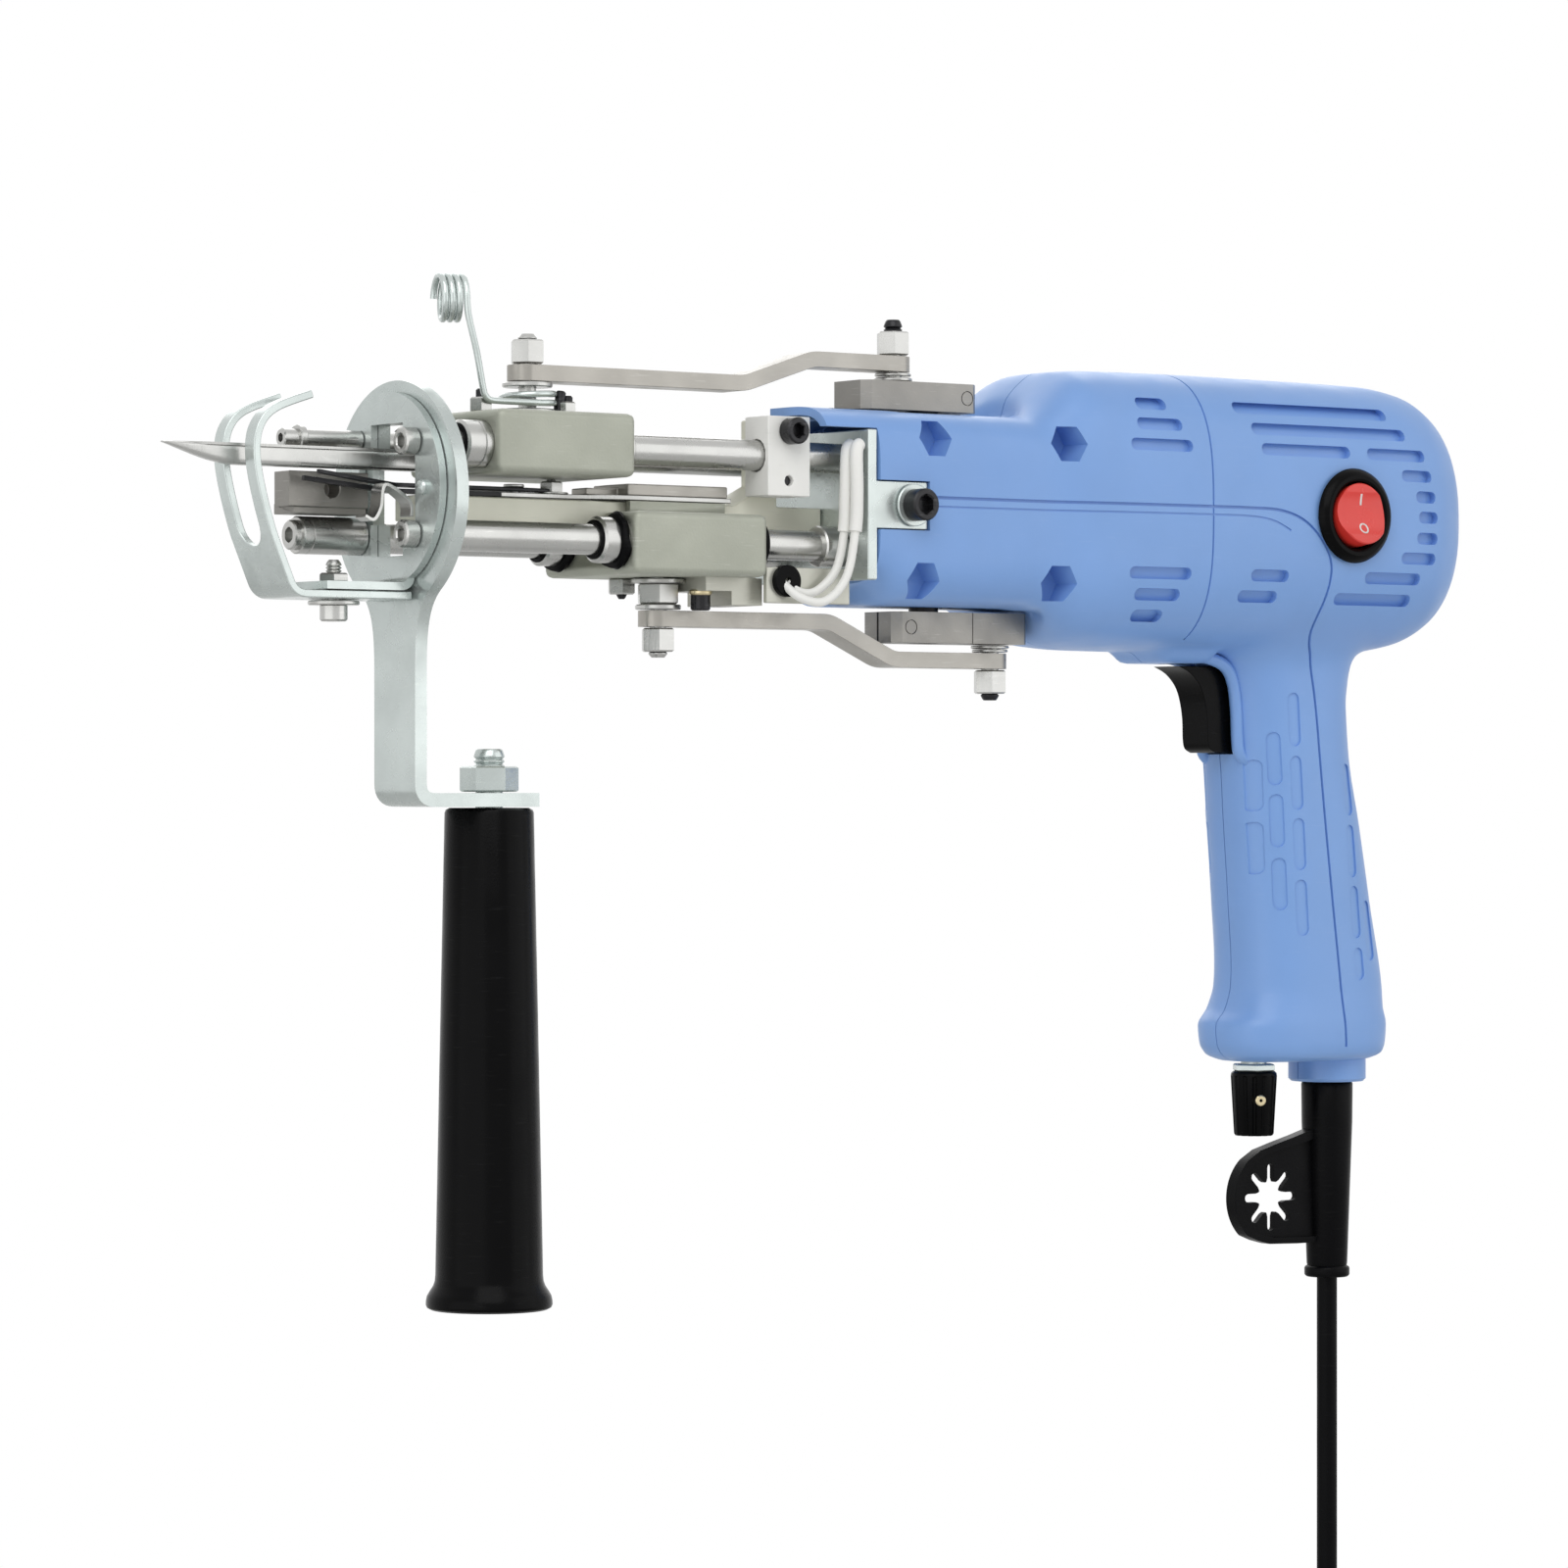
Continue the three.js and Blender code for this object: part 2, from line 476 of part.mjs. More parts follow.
// Crankshaft with its bevel gear and the two crank blocks
const shaftSpan = [crankBlock.lowerLow + gap * 2, crankBlock.upperHigh - gap * 2];
add('crankshaft', bar(Z, [crank.x, 0, shaftSpan[0]], crank.radius, shaftSpan[1] - shaftSpan[0], 20), 'dark');
for (const [level, low, high, front, rear, slitEnd] of [
  ['upper', crankBlock.upperLow, crankBlock.upperHigh, crankBlock.upperFront, crankBlock.upperRear, 1],
  ['lower', crankBlock.lowerLow, crankBlock.lowerHigh, crankBlock.lowerFront, crankBlock.lowerRear, -1]]) {
  const outline = blunted([front, rear], crankBlock.half, crankBlock.round / 2);
  const slit = slitEnd > 0 ? [crank.x, rear + overrun] : [front - overrun, crank.x];
  const pinX = slitEnd > 0 ? rear - crankBlock.round : front + crankBlock.round;
  const pinZ = (low + high) / 2;
  const piece = cut(slab(outline, low, high - low),
    bar(Z, [crank.x, 0, low - overrun], crank.radius + gap, high - low + 2 * overrun, 20),
    cuboid(slit, [-crankBlock.slit / 2, crankBlock.slit / 2], [low - overrun, high + overrun]));
  const clampPin = bar(Y, [pinX, -crankBlock.half - gap, pinZ], crankBlock.pin, 2 * (crankBlock.half + gap),
    16);
  add(`${level}_crank_block`, join(piece, clampPin), 'steel');
}

// A toothed disc around the upright or the lying shaft, coned to one side
function toothed(teeth, radius, tooth, thick, topShare) {
  const points = [];
  for (let i = 0; i < teeth * 2; i++) {
    const angle = Math.PI * (i + 0.5) / teeth;
    const reach = i % 2 ? radius : radius - tooth;
    points.push(new THREE.Vector2(reach * Math.cos(angle), reach * Math.sin(angle)));
  }
  const shape = new THREE.ExtrudeGeometry(new THREE.Shape(points), { depth: thick, bevelEnabled: false });
  const position = shape.getAttribute('position');
  for (let i = 0; i < position.count; i++) {
    if (position.getZ(i) > thick / 2) position.setXY(i, position.getX(i) * topShare,
      position.getY(i) * topShare);
  }
  return shape;
}
const gearBody = solid(toothed(gear.teeth, gear.radius, gear.tooth, gear.high - gear.low, gear.coneShare)
  .translate(crank.x, 0, gear.low));
add('bevel_gear', cut(join(gearBody, bar(Z, [crank.x, 0, gear.hubLow], gear.hub,
  gear.low - gear.hubLow + overrun)),
  bar(Z, [crank.x, 0, gear.hubLow - overrun], crank.radius + gap, gear.high - gear.hubLow + 2 * overrun,
  20)), 'steel');

// Gearbox plate: upright plate, two shelves for the bearings and two side tabs
const plateBack = gearPlate.front + gearPlate.thick;
const shelfLevels = [gearPlate.shelfHeight, -gearPlate.shelfHeight - gearPlate.shelfThick];
const tabInner = gearPlate.half - gearPlate.tabThick;
const tabs = [-1, 1].map((sign) => cuboid([gearPlate.front, gearPlate.tabRear],
  sign < 0 ? [-gearPlate.half, -tabInner] : [tabInner, gearPlate.half], [-gearPlate.tabBottom,
  gearPlate.tabTop]));
const shelves = shelfLevels.map((z) => cut(
  cuboid([plateBack - overrun / 2, gearPlate.shelfRear], [-gearPlate.shelfHalf, gearPlate.shelfHalf],
    [z, z + gearPlate.shelfThick]),
  bar(Z, [crank.x, 0, z - overrun], bearing.radius - overrun, gearPlate.shelfThick + 2 * overrun)));
const tabHoles = [-1, 1].map((sign) => bar(Y, [sideScrew.x, sign > 0 ? 0 : -gearPlate.half - overrun,
  sideScrew.z],
  sideScrew.shank + gap, gearPlate.half + overrun, 16));
add('gearbox_plate', cut(join(cuboid([gearPlate.front, plateBack], [-gearPlate.half, gearPlate.half],
  [-gearPlate.bottom, gearPlate.top]), ...tabs, ...shelves), ...tabHoles), 'zinc');
for (const [level, start] of [['upper', shelfLevels[0] + gearPlate.shelfThick + gap],
  ['lower', shelfLevels[1] - bearing.long - gap]]) {
  add(`${level}_bearing`, cut(bar(Z, [crank.x, 0, start], bearing.radius, bearing.long),
    bar(Z, [crank.x, 0, start - overrun], crank.radius + gap, bearing.long + 2 * overrun, 20)), 'steel');
}
for (const [name, sign, axis] of [['near', -1, Y], ['far', 1, nearward]]) {
  const face = sign * (gearPlate.half + gap);
  const shape = join(socketScrew(axis, [sideScrew.x,
    face + sign * (sideScrew.washerThick + sideScrew.headLong), sideScrew.z],
    sideScrew.head, sideScrew.headLong, sideScrew.shank,
    sideScrew.washerThick + gearPlate.tabThick + sideScrew.reach,
    sideScrew.shank), cut(bar(axis, [sideScrew.x, face + sign * sideScrew.washerThick, sideScrew.z],
    sideScrew.washer,
    sideScrew.washerThick)));
  add(`side_screw_${name}`, shape, 'dark');
}

// Beam between the blocks, with the upright tongue behind them
const tongue = cut(cuboid([beam.tongueX, beam.tongueX + beam.tongueThick], [-beam.half, beam.half],
  [beam.top - overrun, beam.tongueTop]),
cuboid([beam.tongueX - overrun, beam.tongueX + beam.tongueThick + overrun], [-beam.slitHalf, beam.slitHalf],
  [beam.tongueTop - beam.slitDeep, beam.tongueTop + overrun]));
const gussetFoot = beam.top - overrun / 2, gussetRear = beam.tongueX + overrun / 2;
const gusset = sideSlab([[beam.tongueX - 2 * beam.half, gussetFoot], [gussetRear, gussetFoot],
  [gussetRear, beam.top + beam.half]], -beam.half, 2 * beam.half);
add('centre_beam', join(cuboid([rodStart, rodEnd], [-beam.half, beam.half], [beam.bottom, beam.top]),
  tongue, gusset),
  'beige');

// Clamp on the upper near rod
const clampMid = clamp.front + clamp.long / 2;
add('rod_clamp', cut(cuboid([clamp.front, clamp.front + clamp.long], [-clamp.near, -clamp.inner],
  [clamp.low, clamp.high]),
  bar(X, [clamp.front - overrun, -rod.side, rod.height], rod.radius + gap, clamp.long + 2 * overrun),
  bar(Y, [clampMid, -clamp.near - overrun, clamp.holeZ], clamp.holeRadius,
  clamp.near - clamp.inner + 2 * overrun, 12),
  bar(Y, [clampMid, -clamp.near - overrun, clamp.screwZ + gap], clamp.holeRadius + gap,
    clamp.near - clamp.inner + 2 * overrun, 12)), 'white');
add('rod_clamp_screw', socketScrew(Y, [clampMid, -clamp.near - gap - clamp.screwHead, clamp.screwZ + gap],
  clamp.screwRadius,
  clamp.screwHead, clamp.holeRadius, clamp.near - clamp.inner - overrun, clamp.screwRadius / 2), 'dark');

// The opening through both round plates, shaped like a cross
const crossPoints = [[-frontSlot.upHalf, frontSlot.top], [-frontSlot.upHalf, frontSlot.wideTop],
  [-frontSlot.wideHalf, frontSlot.wideTop], [-frontSlot.wideHalf, -frontSlot.wideBottom],
  [-frontSlot.upHalf, -frontSlot.wideBottom], [-frontSlot.upHalf, -frontSlot.bottom],
  [frontSlot.upHalf, -frontSlot.bottom], [frontSlot.upHalf, -frontSlot.wideBottom],
  [frontSlot.wideHalf, -frontSlot.wideBottom], [frontSlot.wideHalf, frontSlot.wideTop],
  [frontSlot.upHalf, frontSlot.wideTop], [frontSlot.upHalf, frontSlot.top]].reverse();
const frontFace = -gap - frontPlate.thick;
const screwHoles = (reach) => Object.values(levels).flatMap((z) => Object.values(sides).map((y) =>
  bar(X, [frontFace - overrun, y, z], plateScrew.shank + gap, reach, 12)));
const crossCut = (x, thick) => faceSlab(crossPoints, x - overrun, thick + 2 * overrun);
const innerCross = crossPoints.map(([y,
  z]) => [Math.abs(z) > frontSlot.wideTop ? y : y * bracket.crossShare, z]);

// Handle bracket: round plate, strap that narrows out of it, bend and foot
const neckSide = (sign) => {
  const rimAngle = THREE.MathUtils.degToRad(sign < 0 ? 180 + bracket.openAngle : 360 - bracket.openAngle);
  const rim = [bracket.radius * Math.cos(rimAngle), -bracket.drop + bracket.radius * Math.sin(rimAngle)];
  const flare = new THREE.CubicBezierCurve(new THREE.Vector2(...rim),
    new THREE.Vector2(rim[0] + sign * -bracket.bend, rim[1] - bracket.bend / 1.5),
    new THREE.Vector2(sign * bracket.strapHalf, -bracket.neckDepth + bracket.bend * 2),
    new THREE.Vector2(sign * bracket.strapHalf, -bracket.neckDepth));
  return flare.getPoints(8).map((p) => [p.x, p.y]);
};
const bendCentre = [bracket.bend, -bracket.footDepth + bracket.bend];
const bracketFace = [...arc(0, -bracket.drop, bracket.radius, -bracket.openAngle, 180 + bracket.openAngle,
  36),
  ...neckSide(-1).slice(1),
  [-bracket.strapHalf, bendCentre[1]], [bracket.strapHalf, bendCentre[1]], ...neckSide(1).reverse().slice(0,
  -1)];
const bendRing = [...arc(...bendCentre, bracket.bend, 180, 270, 6), [bracket.footLength, -bracket.footDepth],
  [bracket.footLength, -bracket.footDepth + bracket.thick],
  ...arc(...bendCentre, bracket.bend - bracket.thick, 270, 180, 6)];
bendRing.push([bracket.thick, bendCentre[1] + overrun], [0, bendCentre[1] + overrun]);
add('handle_bracket', cut(join(faceSlab(bracketFace, 0, bracket.thick),
  sideSlab(bendRing, -bracket.strapHalf, 2 * bracket.strapHalf)),
faceSlab(innerCross, -overrun, bracket.thick + 2 * overrun),
...screwHoles(bracket.thick + frontPlate.thick + 4 * overrun),
bar(Z, [grip.x, 0, -bracket.footDepth - overrun], grip.bore, bracket.thick + 2 * overrun, 20)), 'zinc');

// Front plate with its bent flange
const plateFaceOutline = [...arc(0, 0, frontPlate.radius, -frontPlate.openAngle, 180 + frontPlate.openAngle,
  36),
  [-frontPlate.flangeHalf, -frontPlate.flangeLow], [frontPlate.flangeHalf, -frontPlate.flangeLow]];
const flange = cuboid([-frontPlate.flangeFront, -gap], [-frontPlate.flangeHalf, frontPlate.flangeHalf],
  [-frontPlate.flangeLow, -frontPlate.flangeLow + frontPlate.thick]);
const rivet = bar(forward, [frontFace + overrun / 2, -frontPlate.radius + 2 * post.washer / 2, 0],
  clamp.holeRadius,
  plateScrew.shank, 12);
add('front_plate', cut(join(faceSlab(plateFaceOutline, frontFace, frontPlate.thick), flange, rivet),
  crossCut(frontFace, frontPlate.thick), ...screwHoles(frontPlate.thick + 2 * overrun),
  bar(Z, [footBolt.x, 0, -frontPlate.flangeLow - overrun], footBolt.shank + gap,
  frontPlate.thick + 2 * overrun, 16)), 'zinc');
for (const [level, z] of Object.entries(levels)) {
  add(`plate_screw_${level}`, socketScrew(X, [frontFace - gap - plateScrew.headLong, -rod.side, z],
    plateScrew.head,
    plateScrew.headLong, plateScrew.shank, frontPlate.thick + bracket.thick + plateScrew.socketDeep,
    plateScrew.socket), 'steel');
}

// Far posts with their end screws
for (const [level, radius, z, screwRadius, screwLong] of [
  ['upper', farPost.upperRadius, farPost.upperZ, farPost.screw, farPost.screwLong],
  ['lower', farPost.lowerRadius, farPost.lowerZ, farPost.lowerScrew, farPost.lowerScrewLong]]) {
  const start = frontFace - gap - farPost.long;
  const shape = join(bar(X, [start, rod.side, z], radius, farPost.long),
    bar(forward, [start + overrun / 2, rod.side, z], screwRadius, screwLong + overrun / 2),
    bar(forward, [start + farPost.collarLong, rod.side, z], Math.max(radius, farPost.collar),
    farPost.collarLong * 1.5));
  add(`far_post_${level}`, cut(shape, hexBar(X, [start - screwLong - overrun, rod.side, z], screwRadius / 2,
    screwLong / 2 + overrun)), 'steel');
}
// The block stands on a thin plate that rests on the lower far post
const postTop = farPost.lowerZ + farPost.lowerRadius + gap;
add('blade_block', cut(join(cuboid([bladeBlock.front, bladeBlock.rear], [bladeBlock.near, bladeBlock.far],
  [bladeBlock.low, bladeBlock.high]), cuboid([bladeBlock.front + bladeBlock.hole, bladeBlock.rear],
  [bladeBlock.near + overrun, rod.side + farPost.screw], [postTop, bladeBlock.low + overrun])),
  bar(Y, [bladeBlock.holeX, bladeBlock.near - overrun, 0], bladeBlock.hole,
  bladeBlock.far - bladeBlock.near - overrun, 16)),
'beige');
const leafLine = [[frontFace - gap - leaf.thick / 2, leafFoot], ...leafBends];
add('leaf_strip', sideSlab(strip(leafLine, leaf.thick), leaf.near, leaf.far - leaf.near), 'steel');

// Presser foot: the fork cut out of a bent sheet, with a slot over the flange bolt
const footCurve = new THREE.CatmullRomCurve3(footProfile.map(([x, z]) => new THREE.Vector3(x, 0, z)));
const footLine = [[foot.flangeRear, -foot.flangeTop - foot.thick / 2], [-foot.bendX,
  -foot.flangeTop - foot.thick / 2],
  ...footCurve.getPoints(14).slice(1).map((p) => [p.x, p.z])];
let footPiece = sideSlab(strip(footLine, foot.thick), -foot.half, 2 * foot.half);
const forkTop = frontPlate.radius * 2, forkFront = footLine[5][0] * 2;
const forkGap = faceSlab([...arc(0, foot.prongInner - foot.slotBottom, foot.prongInner, 180, 360, 10),
  [foot.prongInner, forkTop], [-foot.prongInner, forkTop]], forkFront, -forkFront - foot.bendX + foot.travel);
footPiece = cut(footPiece, forkGap);
const footSlot = slab([...arc(footBolt.x, 0, footBolt.shank + gap, 90, 270, 8),
  ...arc(footBolt.x + foot.travel, 0, footBolt.shank + gap, -90, 90, 8)],
  -foot.flangeTop - foot.thick - overrun,
foot.thick + 2 * overrun);
footPiece = cut(footPiece, footSlot);
add('presser_foot', footPiece, 'zinc');
const boltTop = -foot.flangeTop - foot.thick - gap;
add('foot_bolt', join(socketScrew(Z, [footBolt.x, 0, boltTop - footBolt.washerThick - footBolt.headLong],
  footBolt.head,
  footBolt.headLong, footBolt.shank,
  footBolt.washerThick + footBolt.nutLong + 4 * foot.thick - footBolt.shank,
  footBolt.socket),
bar(Z, [footBolt.x, 0, boltTop - footBolt.washerThick], footBolt.washer, footBolt.washerThick),
hexBar(Z, [footBolt.x, 0, -frontPlate.flangeLow + frontPlate.thick + gap], footBolt.nutFlats,
footBolt.nutLong)), 'steel');

// Yarn guide: curled eye, leg, and turns around the upper pivot post
const guideZ = block.far + 2 * gap + post.washerThick + wire.radius;
const eyeAxis = X.clone().applyAxisAngle(Z, -THREE.MathUtils.degToRad(wire.turned));
const eyeSide = eyeAxis.clone().cross(Z);
const eyeCentre = new THREE.Vector3(wire.eyeX, wire.eyeY, wire.eyeZ);
const eyeStep = 2 * wire.radius + 1.5 * gap;
const guide = [];
const curlSteps = 8;
for (let i = 0; i <= wire.curls * curlSteps; i++) {
  const angle = Math.PI - 2 * Math.PI * i / curlSteps;
  guide.push(eyeCentre.clone().addScaledVector(eyeAxis, eyeStep * (i / curlSteps - wire.curls))
    .addScaledVector(eyeSide, wire.eyeRadius * Math.cos(angle)).addScaledVector(Z,
    wire.eyeRadius * Math.sin(angle)));
}
const legTop = guide[guide.length - 1];
const wrapStart = new THREE.Vector3(link.upperPivot, -wire.wrapRadius, guideZ);
const legFoot = new THREE.Vector3(legTop.x, -wire.wrapRadius, guideZ);
const legBend = wire.bend * wire.radius;
guide.push(new THREE.Vector3(legTop.x, legTop.y, (legTop.z + guideZ) / 2));
for (const [dx, dz] of [[0, legBend], [0.3 * legBend, 0.3 * legBend], [legBend, 0]]) {
  guide.push(legFoot.clone().add(new THREE.Vector3(dx, 0, dz)));
}
for (let i = 0; i <= wire.wrapTurns * curlSteps; i++) {
  const angle = -Math.PI / 2 + 2 * Math.PI * i / curlSteps;
  guide.push(new THREE.Vector3(link.upperPivot + wire.wrapRadius * Math.cos(angle),
  wire.wrapRadius * Math.sin(angle),
    guideZ + eyeStep * i / curlSteps));
}
console.log('yarn guide least gap', selfGap(guide, wire.radius, 5).toFixed(2));
add('yarn_guide', tube(guide, wire.radius, 5), 'steel');

// Blades: the fixed one carries on to the lower block, the moving one turns on the pivot screw
const bladeSide = (low, thick) => strip([[blade.tip, low + blade.lift + thick / 2], [blade.liftEnd,
  low + thick / 2],
  [blade.rear, low + thick / 2]], thick);
const fixedPlan = [[blade.tip, -blade.tipHalf], [0, -blade.half], [blade.waistX, -blade.waistHalf],
  [blade.mount[0], -blade.rearHalf], [blade.rear, -blade.rearHalf], [blade.rear, blade.rearHalf],
  [blade.mount[0], blade.rearHalf], [blade.waistX, blade.waistHalf], [blade.pivotX, blade.waistHalf],
  [0, blade.half / 3], [blade.tip, blade.tipHalf]];
const planTop = block.near * 3;
const pivotHole = bar(Z, [blade.pivotX, 0, -planTop], bladeNut.screw + gap, 2 * planTop, 12);
const fixedBlade = sideSlab(bladeSide(blade.low, blade.thick), -block.half, 2 * block.half)
  .intersect(slab(fixedPlan, -planTop, 2 * planTop));
const movingLow = blade.low + blade.thick + gap;
const movingPlan = [[blade.tip, -blade.tipHalf], [0, -blade.half / 3], [blade.pivotX, -blade.waistHalf],
  [blade.pivotX + blade.tail, -blade.half], [blade.pivotX + blade.tail, blade.half], [blade.pivotX,
  blade.waistHalf],
  [0, blade.half], [blade.tip, blade.tipHalf]];
const open = THREE.MathUtils.degToRad(blade.open);
const turnedPlan = movingPlan.map(([x, y]) => {
  const dx = x - blade.pivotX;
  return [blade.pivotX + dx * Math.cos(open) - y * Math.sin(open), dx * Math.sin(open) + y * Math.cos(open)];
});
const movingBlade = sideSlab(bladeSide(movingLow, blade.thick - gap / 2), -block.half, 2 * block.half)
  .intersect(slab(turnedPlan, -planTop, 2 * planTop));
add('moving_blade', cut(movingBlade, pivotHole), 'dark');
const nutLow = movingLow + blade.thick - gap / 2 + gap;
const pivotScrew = bar(Z, [blade.pivotX, 0, blade.low + blade.thick / 2], bladeNut.screw,
  nutLow - blade.low, 12);
add('fixed_blade', join(fixedBlade, pivotScrew, hexBar(Z, [blade.pivotX, 0, nutLow], bladeNut.flats,
  bladeNut.thick)),
  'dark');

// Front grip with its stud and nut
const gripTop = bracket.footDepth + gap, gripBottom = gripTop + grip.long;
const gripProfile = [[0, -gripBottom], [grip.flare - overrun, -gripBottom], [grip.flare,
  -gripBottom + overrun],
  [grip.flare, -gripBottom + grip.flareLong / 3], [grip.lowRadius, -gripBottom + grip.flareLong + overrun],
  [grip.topRadius, -gripTop - overrun], [grip.topRadius - overrun, -gripTop], [grip.bore, -gripTop],
  [grip.bore, -gripTop - grip.boreDeep], [0, -gripTop - grip.boreDeep]];
add('front_grip', solid(new THREE.LatheGeometry(gripProfile.map(([r, z]) => new THREE.Vector2(r, z)),
  20).rotateX(Math.PI / 2))
  .translate([grip.x, 0, 0]), 'dark');
add('grip_stud', join(
  bar(Z, [grip.x, 0, -gripTop - grip.boreDeep + gap], grip.stud,
  gripTop + grip.boreDeep - gap - bracket.footDepth + grip.studOver, 18),
  hexBar(Z, [grip.x, 0, -bracket.footDepth + bracket.thick + gap], grip.nutFlats, grip.nutLong)), 'zinc');

// Casing: one skin for the body, one for the handle, hollowed and split down the middle
const bodySides = 20;
const bodyRings = (inset, endInset) => bodySections.map(([x, up, low, half, square], i) => {
  const last = bodySections.length - 1;
  const before = bodySections[last][0] - inset - (last - i) * gap;
  const at = i === 0 ? x - endInset : Math.min(x, before);
  return Array.from({ length: bodySides }, (_, k) => {
    const [y, z] = ovalPoint(2 * Math.PI * (k + 0.5) / bodySides, Math.max(half - inset, gap),
      Math.max(up - inset, gap),
      Math.max(low - inset, gap), square);
    return new THREE.Vector3(at, y, z);
  });
});
const handleSides = 16;
const handleRings = (inset) => handleSections.map(([z, x, half, wide, square], i) => {
  const at = i === handleSections.length - 1 ? z + inset : z;
  return Array.from({ length: handleSides }, (_, k) => {
    const [dx, dy] = ovalPoint(2 * Math.PI * (k + 0.5) / handleSides, half - inset, wide - inset,
      wide - inset, square);
    return new THREE.Vector3(x + dx, dy, at);
  });
});
// Wells in the casing above and below the nose, wide enough for the turning crank blocks
const upperSwing = crank.x - crankBlock.upperFront + runGap,
  lowerSwing = crankBlock.lowerRear - crank.x + runGap;
const wells = (grow) => [
  bar(Z, [crank.x, 0, crankBlock.upperLow - runGap - grow], upperSwing + grow, crankBlock.half * 2, 28),
  bar(down, [crank.x, 0, crankBlock.lowerHigh + runGap + grow], lowerSwing + grow, crankBlock.half * 2, 28)];
const outer = cut(join(skin(bodyRings(0, 0)), skin(handleRings(0))), ...wells(0));
const inner = cut(join(skin(bodyRings(casing.wall, overrun)), skin(handleRings(casing.wall))),
  ...wells(casing.wall));
const shallow = skin(bodyRings(casing.groove, overrun));
const slotTool = (x0, x1, z) => sideSlab([...arc(x1 - grooveHalf, z, grooveHalf, -90, 90, 2),
  ...arc(x0 + grooveHalf, z, grooveHalf, 90, 270, 2)], -block.half * 2, block.half * 4);
const pockets = hexPocket.spots.map(([x, z]) => {
  const ring = arc(x, z, hexPocket.flats / Math.cos(Math.PI / 6), 0, 300, 5);
  return sideSlab(ring, -block.half * 2, block.half * 4);
});
const pocketFloor = gearPlate.shelfHalf + gap + hexPocket.floor;
const outside = [-block.half * 2, block.half * 2];
const pocketDepth = cuboid([gearPlate.front, motor.rear], [-pocketFloor, pocketFloor], outside);
const bossStart = pocketFloor - hexPocket.floor;
const pocketBosses = hexPocket.spots.map(([x, z]) => cut(
  bar(Y, [x, outside[0], z], hexPocket.boss, outside[1] - outside[0], 10),
  cuboid([gearPlate.front, motor.rear], [-bossStart, bossStart], outside)).intersect(outer));
const shaftHole = bar(Z, [crank.x, 0, crankBlock.lowerLow], crank.radius + runGap * 1.5,
  crankBlock.upperHigh - crankBlock.lowerLow, 20);
const tabNotch = cuboid([gearPlate.front - overrun, gearPlate.tabRear + gap], outside,
  [-gearPlate.tabBottom - gap, gearPlate.tabTop + gap]);
const notchKeep = cuboid([gearPlate.front - 2 * overrun, gearPlate.tabRear + overrun], [gap - tabInner,
  tabInner - gap],
  [-block.half, block.half]);
const switchHole = bar(Y, [rocker.x, -block.half * 2, rocker.z], rocker.barrel + gap, block.half * 2, 28);
const triggerSlot = cuboid([triggerFront - overrun, triggerRear + trigger.travel + overrun],
  [-trigger.half - gap, trigger.half + gap], [trigger.bottom - gap, trigger.top + gap]);
const speedHole = bar(Z, [speed.x, 0, -speed.nutTop - overrun], speed.bush + gap,
  speed.nutTop - speed.potBottom + 2 * overrun, 16);
const bossHole = bar(Z, [cord.x, 0, -cord.bossLow - overrun], cord.bootRadius + gap,
  cord.bossLow - cord.bootTop + 4 * overrun, 20);
const boss = bar(Z, [cord.x, 0, -cord.bossLow], cord.bossRadius, cord.bossLow - cord.bootTop, 24);
const shellRaw = cut(join(cut(join(outer, boss), inner), ...pocketBosses), shaftHole, cut(tabNotch,
  notchKeep),
  triggerSlot, speedHole, bossHole, ...grooves.map((g) => slotTool(...g).subtract(shallow)),
  ...pockets.map((tool) => tool.subtract(pocketDepth)));
const reach = bodySections[bodySections.length - 1][0] + cord.bossRadius;
const leftHalf = cuboid([0, reach], [-reach, -casing.seam], [-reach, reach]);
const rightHalf = cuboid([0, reach], [casing.seam, reach], [-reach, reach]);
// The left half carries a hood over the gearbox plate
const hoodRing = (inset) => [hood.front - inset, bodySections[0][0] + overrun / 2].map((x) => {
  const [, up, low, half, square] = bodySections[0];
  return Array.from({ length: bodySides }, (_, k) => {
    const [y, z] = ovalPoint(2 * Math.PI * (k + 0.5) / bodySides, half - inset, up - inset, low, square);
    return new THREE.Vector3(x, y, z);
  });
});
const hoodPiece = cut(skin(hoodRing(0)), skin(hoodRing(casing.wall * hood.wallShare)),
  cuboid([0, reach], [-reach, reach], [-reach, hood.low]),
  cuboid([bodySections[0][0] + overrun / 4, reach], [-reach, reach], [-reach, reach]));
const largest = (manifold) => manifold.decompose().sort((a, b) => b.volume() - a.volume())[0];
add('casing_left', largest(cut(join(shellRaw, hoodPiece), switchHole).intersect(leftHalf)), 'casing');
add('casing_right', largest(shellRaw.intersect(rightHalf)), 'casing');

// Motor in the casing, with its shaft, pinion and fan
add('motor', cut(join(bar(X, [motor.front, 0, 0], motor.radius, motor.rear - motor.front, 24),
  bar(forward, [motor.front + overrun, 0, 0], motor.boss, motor.bossLong + overrun)),
bar(X, [motor.front - motor.bossLong - overrun, 0, 0], motor.shaft + gap,
  motor.rear - motor.front + motor.bossLong + 2 * overrun, 16)), 'copper');
const pinionCone = solid(toothed(pinion.teeth, pinion.radius, pinion.tooth, pinion.rear - pinion.front,
  gear.coneShare)
  .rotateY(-Math.PI / 2).translate(pinion.rear, 0, 0));
const fanFront = motor.rear + motor.fanStart;
const fanBlades = Array.from({ length: motor.fanBlades }, (_, i) => cuboid([fanFront,
  fanFront + motor.fanLong],
  [motor.shaft, motor.fan], [-overrun / 2, overrun / 2]).rotate([360 / motor.fanBlades * i, 0, 0]));
